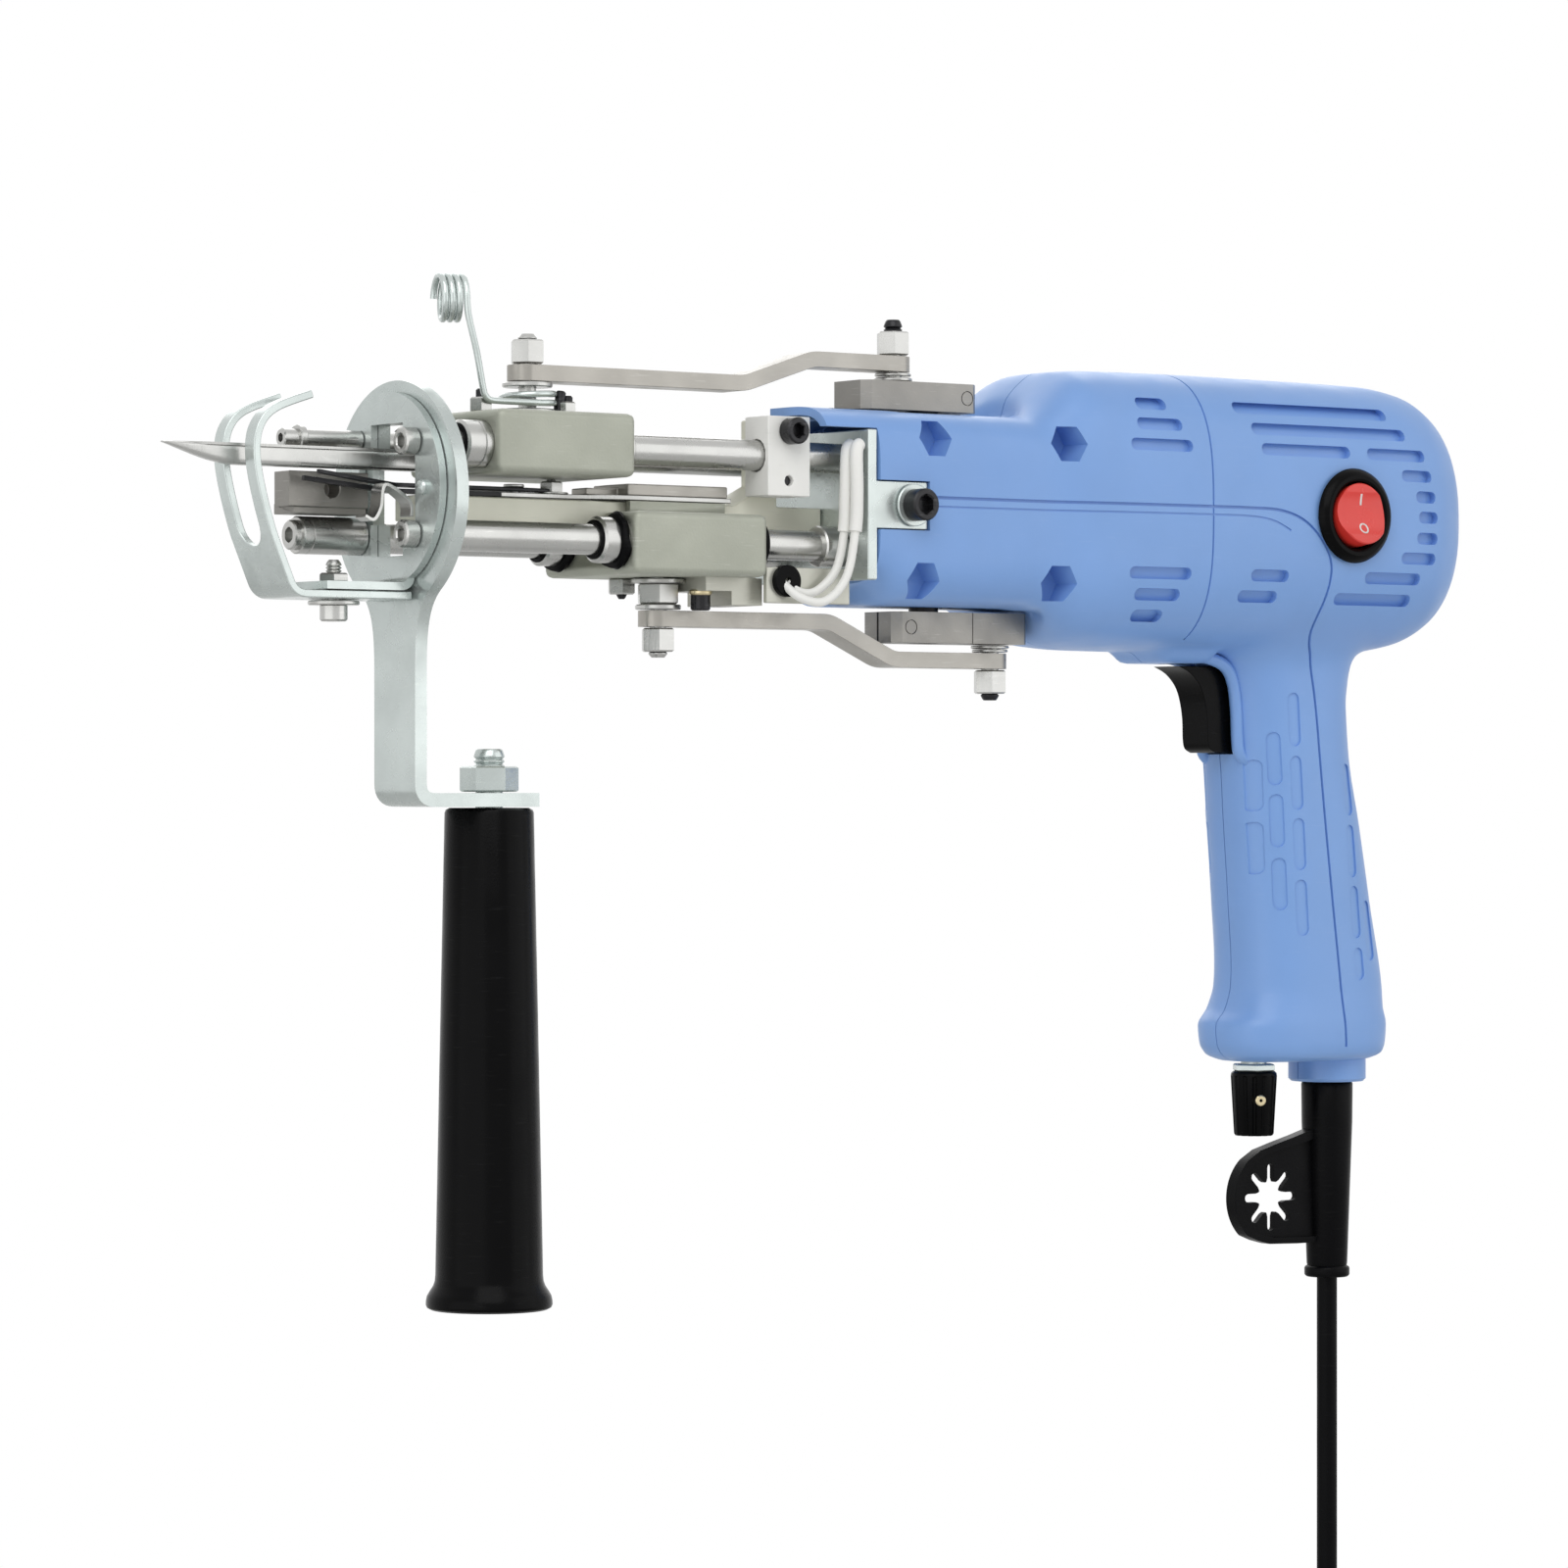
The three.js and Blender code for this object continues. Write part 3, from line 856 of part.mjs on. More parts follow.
add('motor_shaft', join(bar(X, [pinion.rear - overrun, 0, 0], motor.shaft,
  motor.shaftRear - pinion.rear + overrun, 16),
  pinionCone, bar(X, [fanFront - overrun, 0, 0], motor.shaft * 2, motor.fanLong + overrun, 16), ...fanBlades),
'steel');

// Rocker switch in the left half
const bezelFace = -bodySections[6][3], barrelStart = bezelFace - gap - overrun / 2;
add('switch_body', cut(join(bar(nearward, [rocker.x, bezelFace - gap, rocker.z], rocker.bezel,
  rocker.bezelThick, 32),
  bar(Y, [rocker.x, barrelStart, rocker.z], rocker.barrel, -motor.radius - gap - barrelStart, 28)),
bar(Y, [rocker.x, bezelFace - gap - rocker.bezelThick - overrun, rocker.z], rocker.face - gap,
rocker.bezelThick + rocker.height * 2,
  28)), 'dark');
const rockerShape = bar(Y, [0, -rocker.height, 0], rocker.inner, rocker.height * 2, 24)
  .subtract(bar(X, [-rocker.face, -rocker.hollowDeep, 0], rocker.hollow, 2 * rocker.face, 32))
  .rotate([rocker.tilt, 0, 0]);
add('rocker', rockerShape.translate([rocker.x, bezelFace - gap - rocker.bezelThick * rocker.seatShare,
  rocker.z]), 'red');

// Trigger and the switch behind it
const [toeBack] = triggerCurve[triggerCurve.length - 1];
const triggerLine = [[triggerRear, trigger.top], [triggerFront + overrun, trigger.top],
  ...triggerCurve.map(([back, below]) => [triggerFront + back, trigger.top - below]),
  [triggerFront + toeBack, trigger.bottom + overrun], [triggerFront + toeBack + overrun, trigger.bottom],
  [triggerRear, trigger.bottom]].reverse();
add('trigger', sideSlab(triggerLine, -trigger.half, 2 * trigger.half), 'dark');
const switchFront = triggerRear + trigger.travel + gap;
add('trigger_switch', cuboid([switchFront, switchFront + triggerSwitch.long], [-triggerSwitch.half,
  triggerSwitch.half],
  [trigger.bottom - triggerSwitch.drop, trigger.top - triggerSwitch.drop]), 'dark');

// Speed control: potentiometer in the handle, nut and fluted knob below it
const nutBottom = -speed.nutTop - gap - speed.nutLong;
add('speed_control', cut(join(bar(Z, [speed.x, 0, -speed.potBottom], speed.potRadius,
  speed.potBottom - speed.potTop),
  bar(Z, [speed.x, 0, nutBottom], speed.bush, -speed.potBottom - nutBottom + overrun, 16),
  hexBar(Z, [speed.x, 0, nutBottom], speed.nutFlats, speed.nutLong)),
bar(Z, [speed.x, 0, nutBottom - overrun], speed.shaft + gap, -speed.potBottom - nutBottom + 2 * overrun,
16)), 'zinc');
const flute = [];
for (let i = 0; i < speed.flutes * 4; i++) {
  const angle = 2 * Math.PI * i / (speed.flutes * 4);
  const reachOut = speed.knobRadius * (i % 4 === 0 ? speed.fluteShare : 1);
  flute.push(new THREE.Vector2(reachOut * Math.cos(angle), reachOut * Math.sin(angle)));
}
const knobShape = new THREE.ExtrudeGeometry(new THREE.Shape(flute),
  { depth: speed.knobBottom - speed.knobTop, bevelEnabled: false });
const knobPlace = knobShape.getAttribute('position');
for (let i = 0; i < knobPlace.count; i++) {
  const share = knobPlace.getZ(i) > 0 ? 1 : speed.knobLow / speed.knobRadius;
  knobPlace.setXY(i, knobPlace.getX(i) * share, knobPlace.getY(i) * share);
}
const knobSolid = solid(knobShape.translate(speed.x, 0, -speed.knobBottom));
add('speed_knob', join(knobSolid, bar(Z, [speed.x, 0, -speed.knobTop - overrun], speed.shaft,
  speed.knobTop - speed.potBottom
  + overrun - gap, 16)), 'dark');

// Strain relief with the hook plate moulded on
const starX = cord.x - hook.starBack, neckX = cord.x - hook.neck;
const hookLine = [[cord.x, -hook.rearTop], [neckX, -hook.rearTop - hook.shoulder],
  ...arc(starX, -hook.starZ, hook.round, 180 - hook.openAngle, 180 + hook.openAngle, 8), [neckX, -hook.low],
  [cord.x, -hook.low]].reverse();
const star = [];
for (let i = 0; i < hook.rays; i++) {
  const middle = 2 * Math.PI * i / hook.rays, wide = Math.PI / hook.rays * hook.rayShare;
  for (const [turn, radius] of [[-hook.rayFoot, hook.starInner], [-hook.rayTip, hook.starOuter],
    [hook.rayTip, hook.starOuter], [hook.rayFoot, hook.starInner]]) {
    const angle = middle + wide * turn;
    star.push([starX + radius * Math.cos(angle), -hook.starZ + radius * Math.sin(angle)]);
  }
}
const boot = [[cord.radius + gap, -cord.flangeEnd], [cord.flange, -cord.flangeEnd], [cord.flange,
  -cord.bootEnd],
  [cord.bootLow, -cord.bootEnd], [cord.bootRadius, -cord.bossLow - gap], [cord.bootNeck, -cord.bossLow - gap],
  [cord.bootNeck, -cord.bootTop], [cord.radius + gap, -cord.bootTop]];
boot.push(boot[0]);
const bootSolid = solid(new THREE.LatheGeometry(boot.map(([r, z]) => new THREE.Vector2(r, z)),
  16).rotateX(Math.PI / 2))
  .translate([cord.x, 0, 0]);
const bootBore = bar(Z, [cord.x, 0, -cord.flangeEnd - overrun], cord.radius + gap,
  cord.flangeEnd - cord.bootTop + 2 * overrun, 16);
add('cord_boot', cut(join(bootSolid, cut(sideSlab(hookLine, -hook.half, 2 * hook.half), sideSlab(star,
  -hook.half - overrun,
  2 * (hook.half + overrun)))), bootBore), 'dark');

// Free cord: straight down out of the strain relief, then a tied hank, then the plug
const hankTop = -hank.top;
const straightTop = new THREE.Vector3(cord.x, 0, -cord.bootTop - 4 * gap);
const hankRadius = (turn) => hank.inner + hank.step * Math.abs(turn - hank.turns / 2);
const hankOuter = hankRadius(0);
const hankX = cord.x - hankOuter;
const hankMiddle = hankTop - hank.straight / 2;
// A loop is two half circles joined by runs; the turn counts from the top of the rear run, downwards first
function hankPoint(turn) {
  const radius = hankRadius(turn);
  const arcLong = Math.PI * hank.inner * hank.foldShare, runLong = hank.straight;
  const whole = 2 * (arcLong + runLong);
  let way = (turn % 1) * whole;
  let x, z;
  if (way < runLong) [x, z] = [radius, runLong / 2 - way];
  else if ((way -= runLong) < arcLong) {
    const angle = -Math.PI * way / arcLong;
    [x, z] = [radius * Math.cos(angle), -runLong / 2 + radius * Math.sin(angle)];
  } else if ((way -= arcLong) < runLong) [x, z] = [-radius, -runLong / 2 + way];
  else {
    const angle = Math.PI - Math.PI * (way - runLong) / arcLong;
    [x, z] = [radius * Math.cos(angle), runLong / 2 + radius * Math.sin(angle)];
  }
  const pull = Math.abs(z) < hank.straight / 2 ? hank.waist * Math.cos(Math.PI * z / hank.straight) ** 2 : 0;
  const layer = THREE.MathUtils.clamp((turn - hank.turns / 2) / hank.climb, -1, 1);
  return new THREE.Vector3(hankX + x - Math.sign(x) * Math.min(pull, Math.abs(x)), hank.layer * (1 + layer),
    hankMiddle + z);
}
const hankSteps = hank.turns * hank.stepsPerTurn;
const hankPath = Array.from({ length: hankSteps + 1 }, (_, i) => hankPoint(i / hank.stepsPerTurn));
const runShare = hank.straight / (2 * (Math.PI * hank.inner * hank.foldShare + hank.straight));
const lastRun = Math.round(runShare * hank.stepsPerTurn);
for (let i = 1; i <= lastRun; i++) {
  hankPath.push(hankPoint(hank.turns + i / hank.stepsPerTurn));
}
const hankStart = hankPath[0].clone().setZ(hankPath[0].z + 2 * cord.radius);
const hankEnd = hankPath[hankPath.length - 1].clone();
hankEnd.setZ(hankEnd.z - hank.tail);
hankPath.unshift(hankStart);
hankPath.push(hankEnd);
let cordLong = 0;
for (let i = 1; i < hankPath.length; i++) cordLong += hankPath[i].distanceTo(hankPath[i - 1]);
console.log('hank least gap', selfGap(hankPath, cord.radius, 6).toFixed(2), 'length', cordLong.toFixed(1));
add('hank', tube(hankPath, cord.radius, hank.sides), 'dark');
function plainCord(name, from, to, steps) {
  const circle = new THREE.Shape();
  circle.absarc(0, 0, cord.radius - gap / 2, 0, 2 * Math.PI);
  const shape = new THREE.ExtrudeGeometry(circle, { steps, curveSegments: 5,
    extrudePath: new THREE.LineCurve3(from, to) });
  add(name, solid(shape), 'dark');
}
plainCord('cord', straightTop, hankStart.clone().add(new THREE.Vector3(0, 0, gap)), 12);
const plugTop = hankEnd.z - gap;
const plugAt = [hankEnd.x, hankEnd.y, plugTop];
const pinTop = plugTop - plug.sleeveLong - plug.long;
const bulge = plug.half * plug.bulgeShare;
add('plug', join(bar(down, plugAt, plug.sleeve * plug.sleeveShare, plug.sleeveLong + overrun, 16,
  plug.sleeve),
  slab([[-plug.half, -plug.thick], [plug.half, -plug.thick], [bulge, 0], [plug.half, plug.thick],
    [-plug.half, plug.thick], [-bulge, 0]].map(([x, y]) => [x + plugAt[0], y + plugAt[1]]), pinTop,
    plug.long),
  ...[-1, 1].map((sign) => bar(down, [plugAt[0] + sign * plug.pinSpread, plugAt[1], pinTop + overrun],
  plug.pin,
    plug.pinLong, 12))), 'dark');
console.log('cord length', (cordLong + straightTop.z - hankStart.z).toFixed(1));
const tieHalf = [hankRadius(hank.turns + hank.tieShare) - hank.waist + cord.radius + gap,
  hank.layer + cord.radius + gap];
const tieSpan = (grow) => [[hankX - tieHalf[0] - grow, hankX + tieHalf[0] + grow],
  [hank.layer - tieHalf[1] - grow, hank.layer + tieHalf[1] + grow]];
add('cord_tie', cut(cuboid(...tieSpan(tie.wall), [hankMiddle - tie.high / 2, hankMiddle + tie.high / 2]),
  cuboid(...tieSpan(0), [hankMiddle - tie.high, hankMiddle + tie.high])), 'dark');

// Sleeved lead wires from the gearbox plate down to the grommet on the casing floor
const leadCurve = new THREE.CatmullRomCurve3(leadPoints.map(([x, y, z]) => new THREE.Vector3(x, y, z)));
console.log('lead wire least gap', selfGap(leadCurve.getPoints(32), lead.radius, 5).toFixed(2));
add('lead_wire', tube(leadCurve.getPoints(32), lead.radius, 5), 'white');

// The whole machine hangs from the pistol grip, so the grip is the reference point
const gripPoint = [298, 0, -95];
const machine = new THREE.Group();
machine.add(meshes);
meshes.position.set(-gripPoint[0], -gripPoint[1], -gripPoint[2]);
export default machine;
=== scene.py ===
# Handheld tufting machine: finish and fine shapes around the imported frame
import json
from math import atan2, copysign, cos, degrees, pi, radians, sin, sqrt

import bmesh
import bpy
import numpy as np
from mathutils import Matrix, Vector


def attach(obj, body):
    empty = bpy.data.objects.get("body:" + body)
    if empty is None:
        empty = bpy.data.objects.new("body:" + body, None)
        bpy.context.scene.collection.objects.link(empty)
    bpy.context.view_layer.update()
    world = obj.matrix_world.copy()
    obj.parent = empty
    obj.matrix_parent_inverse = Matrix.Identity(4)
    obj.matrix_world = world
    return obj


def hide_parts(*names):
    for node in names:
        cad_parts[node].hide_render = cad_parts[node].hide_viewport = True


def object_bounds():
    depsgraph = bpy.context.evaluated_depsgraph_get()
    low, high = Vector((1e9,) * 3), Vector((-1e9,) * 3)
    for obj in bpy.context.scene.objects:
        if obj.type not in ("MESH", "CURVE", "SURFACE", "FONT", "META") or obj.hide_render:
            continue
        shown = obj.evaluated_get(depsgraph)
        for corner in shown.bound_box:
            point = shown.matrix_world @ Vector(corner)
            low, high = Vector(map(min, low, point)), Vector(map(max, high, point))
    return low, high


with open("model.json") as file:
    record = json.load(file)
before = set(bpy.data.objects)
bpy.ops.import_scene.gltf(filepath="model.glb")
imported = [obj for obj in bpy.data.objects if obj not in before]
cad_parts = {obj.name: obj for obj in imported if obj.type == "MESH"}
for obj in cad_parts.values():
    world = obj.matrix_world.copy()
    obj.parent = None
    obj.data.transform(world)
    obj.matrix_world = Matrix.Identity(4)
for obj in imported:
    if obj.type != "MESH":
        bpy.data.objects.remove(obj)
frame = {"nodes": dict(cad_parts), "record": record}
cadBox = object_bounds()

mm = 0.001
gripPoint = Vector((298, 0, -95))  # sizes below run from the front plate, the frame from the grip
axisY, axisZ = Vector((0, 1, 0)), Vector((0, 0, 1))
back, forward, up, down, away, nearby = (1, 0, 0), (-1, 0, 0), (0, 0, 1), (0, 0, -1), (0, 1, 0), (0, -1, 0)
levels, sides = {"upper": 1, "lower": -1}, {"near": -1, "far": 1}


def place(point):
    return (Vector(point) - gripPoint) * mm


def around(count, start=0):
    return [2 * pi * (i + start) / count for i in range(count)]


def addObject(name, data):
    made = bpy.data.objects.new(name, data)
    bpy.context.scene.collection.objects.link(made)
    return made


def fillInputs(tree, node, inputs):
    for label, value in inputs.items():
        if isinstance(value, bpy.types.NodeSocket):
            tree.links.new(value, node.inputs[label])
        else:
            node.inputs[label].default_value = value


def addNode(tree, kind, inputs=None, **settings):
    node = tree.nodes.new("ShaderNode" + kind)
    for key, value in settings.items():
        setattr(node, key, value)
    fillInputs(tree, node, inputs or {})
    return node


# Camera and room
view = {"spot": (-775.96, -1226.41, -74.11), "aim": (0.59063, 0.80694, 0.0), "lens": 131.84, "sensor": 36,
        "clip": (0.01, 50)}
room = {"floorReach": 1.6, "floorDrop": 0.012, "floorSteps": 64, "floorTone": (0.86, 0.86, 0.85, 1), "floorRough": 0.7,
        "sky": 0.36, "white": (1, 1, 1, 1)}
lamps = {  # place, size in metres, power
    "key": ((-900, -1100, 1300), 1.5, 15), "fill": ((-1300, -300, -200), 1.5, 4.5),
    "side": ((900, -1300, 500), 1.6, 6), "back": ((500, 1300, 1100), 1.6, 9)}
lampAim = Vector((0, 0, 0.08))


def makeCamera():
    data = bpy.data.cameras.new("camera")
    data.lens, data.sensor_width = view["lens"], view["sensor"]
    data.clip_start, data.clip_end = view["clip"]
    camera = addObject("camera", data)
    camera.location = place(view["spot"])
    camera.rotation_euler = Vector(view["aim"]).to_track_quat("-Z", "Y").to_euler()
    bpy.context.scene.camera = camera


def makeLamps():
    for name, (spot, size, power) in lamps.items():
        data = bpy.data.lights.new(name, "AREA")
        data.energy, data.size = power, size
        light = addObject(name, data)
        light.location = Vector(spot) * mm
        light.rotation_euler = (lampAim - light.location).to_track_quat("-Z", "Y").to_euler()


# White where the camera, metal or glass sees it, and a dimmer sky for the light on the object
def makeWorld():
    world = bpy.data.worlds.new("studio")
    bpy.context.scene.world = world
    world.use_nodes = True
    tree = world.node_tree
    tree.nodes.clear()
    path = addNode(tree, "LightPath").outputs
    seen = addNode(tree, "Math", {0: path["Is Camera Ray"], 1: path["Is Glossy Ray"]}, operation="MAXIMUM")
    through = addNode(tree, "Math", {0: seen.outputs[0], 1: path["Is Transmission Ray"]}, operation="MAXIMUM")
    plain = addNode(tree, "Background", {"Color": room["white"], "Strength": room["sky"]})
    white = addNode(tree, "Background", {"Color": room["white"]})
    mix = addNode(tree, "MixShader", {"Fac": through.outputs[0], 1: plain.outputs[0], 2: white.outputs[0]})
    addNode(tree, "OutputWorld", {"Surface": mix.outputs[0]})


def makeFloor():
    mesh, reach = bpy.data.meshes.new("floor"), room["floorReach"]
    rim = [(reach * cos(turn), reach * sin(turn), 0) for turn in around(room["floorSteps"])]
    mesh.from_pydata(rim, [], [tuple(range(len(rim)))])
    floor = addObject("floor", mesh)
    floor.location.z = cadBox[0].z - room["floorDrop"]
    paint = bpy.data.materials.new("floorPaint")
    paint.use_nodes = True
    fillInputs(paint.node_tree, paint.node_tree.nodes["Principled BSDF"],
               {"Base Color": room["floorTone"], "Roughness": room["floorRough"]})
    mesh.materials.append(paint)


bpy.context.scene.view_settings.view_transform = "Standard"
for maker in (makeCamera, makeLamps, makeWorld, makeFloor):
    maker()
print("camera, lamps and floor are in")


# Finishes: effects shared by the materials are node groups
texture = {"tone": 55, "sheen": 120, "scuff": 140, "scuffStretch": (1, 1, 12), "scuffEdge": (0.62, 0.72, 0, 1),
           "bump": 0.0004, "swing": (0.3, 0.7, -1, 1)}


def newGroup(name, output, *inputs):
    group = bpy.data.node_groups.new(name, "ShaderNodeTree")
    for label, kind in inputs:
        group.interface.new_socket(name=label, in_out="INPUT", socket_type="NodeSocket" + kind)
    group.interface.new_socket(name=output[0], in_out="OUTPUT", socket_type="NodeSocket" + output[1])
    return group, group.nodes.new("NodeGroupInput").outputs, group.nodes.new("NodeGroupOutput").inputs[0]


def noiseIn(tree, scale, detail, stretch=None):
    source = addNode(tree, "TexCoord").outputs["Object"]
    if stretch is not None:
        source = addNode(tree, "VectorMath", {0: source, 1: stretch}, operation="MULTIPLY").outputs[0]
    return addNode(tree, "TexNoise", {"Vector": source, "Scale": scale, "Detail": detail}).outputs["Fac"]


def ramp(tree, value, span):
    labels = ("From Min", "From Max", "To Min", "To Max")
    return addNode(tree, "MapRange", {"Value": value, **dict(zip(labels, span))}).outputs["Result"]


def makeToneGroup():
    group, source, sink = newGroup("toneShift", ("Color", "Color"), ("Tone", "Color"), ("Shift", "Float"),
                                   ("Scale", "Float"))
    swing = ramp(group, noiseIn(group, source["Scale"], 3), texture["swing"])
    amount = addNode(group, "Math", {0: swing, 1: source["Shift"], 2: 1}, operation="MULTIPLY_ADD")
    product = addNode(group, "VectorMath", {0: source["Tone"], "Scale": amount.outputs[0]}, operation="SCALE")
    group.links.new(product.outputs[0], sink)
    return group


def makeSheenGroup():
    group, source, sink = newGroup("sheenSpread", ("Roughness", "Float"), ("Roughness", "Float"), ("Spread", "Float"),
                                   ("Scale", "Float"))
    swing = ramp(group, noiseIn(group, source["Scale"], 4), texture["swing"])
    amount = addNode(group, "Math", {0: swing, 1: source["Spread"], 2: source["Roughness"]},
                     operation="MULTIPLY_ADD", use_clamp=True)
    group.links.new(amount.outputs[0], sink)
    return group


def makeGrainGroup():
    group, source, sink = newGroup("grain", ("Height", "Float"), ("Scale", "Float"), ("Stretch", "Vector"))
    group.links.new(noiseIn(group, source["Scale"], 2, source["Stretch"]), sink)
    return group


def makeScuffGroup():
    group, source, sink = newGroup("scuffs", ("Color", "Color"), ("Tone", "Color"), ("Scuff", "Color"),
                                   ("Amount", "Float"))
    streak = ramp(group, noiseIn(group, texture["scuff"], 6, texture["scuffStretch"]), texture["scuffEdge"])
    mask = addNode(group, "Math", {0: streak, 1: source["Amount"]}, operation="MULTIPLY")
    mix = addNode(group, "Mix", {"Factor": mask.outputs[0], 6: source["Tone"], 7: source["Scuff"]}, data_type="RGBA")
    group.links.new(mix.outputs[2], sink)
    return group


finishes = {  # tone, shift, roughness, spread, grain, bump, metal, tone and share of scuffs, what else differs
    "casing": ((0.208, 0.383, 0.755), 0.025, 0.38, 0.05, 2400, 0.05, 0, (0.34, 0.5, 0.82), 0.1, {}),
    "black_plastic": ((0.002, 0.002, 0.0022), 0.2, 0.24, 0.07, 2000, 0.08, 0, (0.03, 0.03, 0.031), 0.15,
                      {"shine": 0.06}),
    "cord_rubber": ((0.0025, 0.0025, 0.003), 0.15, 0.36, 0.08, 1500, 0.12, 0, (0.03, 0.03, 0.03), 0.12,
                    {"shine": 0.06}),
    "zinc": ((0.54, 0.59, 0.575), 0.1, 0.26, 0.1, 900, 0.06, 0.65, (0.62, 0.68, 0.64), 0.4, {}),
    "steel": ((0.48, 0.48, 0.465), 0.06, 0.27, 0.06, 1600, 0.05, 0.95, (0.7, 0.7, 0.68), 0.3,
              {"stretch": (1, 1, 0.08)}),
    "brushed_steel": ((0.36, 0.345, 0.315), 0.06, 0.34, 0.08, 1200, 0.1, 0.7, (0.5, 0.49, 0.46), 0.35,
                      {"stretch": (0.08, 1, 1)}),
    "dark_steel": ((0.27, 0.26, 0.24), 0.08, 0.38, 0.08, 1000, 0.12, 0.65, (0.42, 0.41, 0.38), 0.4, {}),
    "black_steel": ((0.014, 0.014, 0.016), 0.2, 0.3, 0.08, 1400, 0.08, 0.5, (0.16, 0.16, 0.17), 0.35, {}),
    "cast_metal": ((0.4, 0.415, 0.35), 0.06, 0.5, 0.08, 1300, 0.25, 0.25, (0.6, 0.6, 0.56), 0.4, {}),
    # The beam finish is a lit copy of pale_metal, lighter in tone and less metallic: painted light, so the centre beam,
    # which sits in shade, reads as brightly lit
    "beam_metal_painted_light": ((0.8, 0.8, 0.68), 0.06, 0.36, 0.08, 1200, 0.1, 0.15, (0.64, 0.63, 0.57), 0.35,
                   {"stretch": (0.1, 1, 1)}),
    "pale_metal": ((0.5, 0.5, 0.44), 0.06, 0.36, 0.08, 1200, 0.1, 0.45, (0.64, 0.63, 0.57), 0.35,
                   {"stretch": (0.1, 1, 1)}),
    "white_plastic": ((0.88, 0.88, 0.85), 0.03, 0.5, 0.06, 1500, 0.08, 0, (0.7, 0.7, 0.66), 0.3, {}),
    "red_plastic": ((0.74, 0.04, 0.03), 0.05, 0.25, 0.04, 1800, 0.03, 0, (0.8, 0.12, 0.1), 0.15, {}),
    "motor_can": ((0.26, 0.27, 0.28), 0.1, 0.4, 0.08, 1200, 0.1, 0.7, (0.4, 0.4, 0.4), 0.3, {}),
    "rocker_mark": ((0.82, 0.8, 0.78), 0.02, 0.45, 0.04, 1500, 0.03, 0, (0.7, 0.6, 0.58), 0.2, {}),
    "plug_pins": ((0.7, 0.6, 0.38), 0.08, 0.3, 0.06, 1200, 0.05, 0.95, (0.85, 0.78, 0.6), 0.3, {}),
}
toneGroup, sheenGroup, grainGroup, scuffGroup = makeToneGroup(), makeSheenGroup(), makeGrainGroup(), makeScuffGroup()


def makeFinish(name, tone, shift, rough, spread, grain, bump, metal, scuff, scuffs, stretch=(1, 1, 1), shine=0.5):
    paint = bpy.data.materials.new(name)
    paint.use_nodes = True
    tree = paint.node_tree
    toned = addNode(tree, "Group", node_tree=toneGroup,
                    inputs={"Tone": (*tone, 1), "Shift": shift, "Scale": texture["tone"]})
    scuffed = addNode(tree, "Group", node_tree=scuffGroup,
                      inputs={"Tone": toned.outputs[0], "Scuff": (*scuff, 1), "Amount": scuffs})
    sheen = addNode(tree, "Group", node_tree=sheenGroup,
                    inputs={"Roughness": rough, "Spread": spread, "Scale": texture["sheen"]})
    grained = addNode(tree, "Group", node_tree=grainGroup, inputs={"Scale": grain, "Stretch": stretch})
    bumps = addNode(tree, "Bump", {"Strength": bump, "Distance": texture["bump"], "Height": grained.outputs[0]})
    fillInputs(tree, tree.nodes["Principled BSDF"], {
        "Base Color": scuffed.outputs[0], "Roughness": sheen.outputs[0], "Normal": bumps.outputs[0],
        "Metallic": metal, "Specular IOR Level": shine})
    return paint


paints = {name: makeFinish(name, *row[:-1], **row[-1]) for name, row in finishes.items()}
print("finishes:", len(paints))
slotOf = {row["node"]: row["material_slot"] for row in frame["record"]["subparts"]}


# Shape helpers: every part is a list of points in mm and a list of faces
def hexReach(turn, flats, start=0):
    third = pi / 3
    return flats / cos((turn + start) % third - third / 2)


# Profile rows are (distance along the axis, radius), with half width over flats and their turn where six-sided
def turned(start, axis, profile, steps=48):
    axis = Vector(axis).normalized()
    upright = axisY if abs(axis.z) > 0.9 else axisZ
    side = axis.cross(upright)
    points, faces, rings = [], [], []
    for along, radius, *flats in profile:
        centre, count = Vector(start) + axis * along, steps if radius else 1
        rings.append(range(len(points), len(points) + count))
        for turn in around(steps)[:count]:
            reach = min(radius, hexReach(turn, *flats)) if flats else radius
            points.append(centre + upright * reach * cos(turn) + side * reach * sin(turn))
    for near, far in zip(rings, rings[1:]):
        for i in range(steps):
            j = (i + 1) % steps
            ends = near[i % len(near)], near[j % len(near)], far[j % len(far)], far[i % len(far)]
            faces.append(tuple(dict.fromkeys(ends)))
    return points, faces


def pin(point, axis, radius, long, steps=48):
    return turned(point, axis, [(0, 0), (0, radius), (long, radius), (long, 0)], steps)


def skinned(rings):
    count, last = len(rings[0]), len(rings) - 1
    points = [Vector(p) for ring in rings for p in ring]
    faces = [(a, b, b + count, a + count) for r in range(last) for a, b in (
        (r * count + i, r * count + (i + 1) % count) for i in range(count))]
    return points, faces + [tuple(range(count))[::-1], tuple(range(last * count, (last + 1) * count))]


def swept(points, radius, sides=14):
    points, rings = [Vector(p) for p in points], []
    normal = axisZ if abs((points[1] - points[0]).normalized().z) < 0.9 else axisY
    for i, point in enumerate(points):
        ahead = (points[min(i + 1, len(points) - 1)] - points[max(i - 1, 0)]).normalized()
        normal = (normal - ahead * normal.dot(ahead)).normalized()
        across = ahead.cross(normal)
        rings.append([point + (normal * cos(t) + across * sin(t)) * radius for t in around(sides)])
    return skinned(rings)


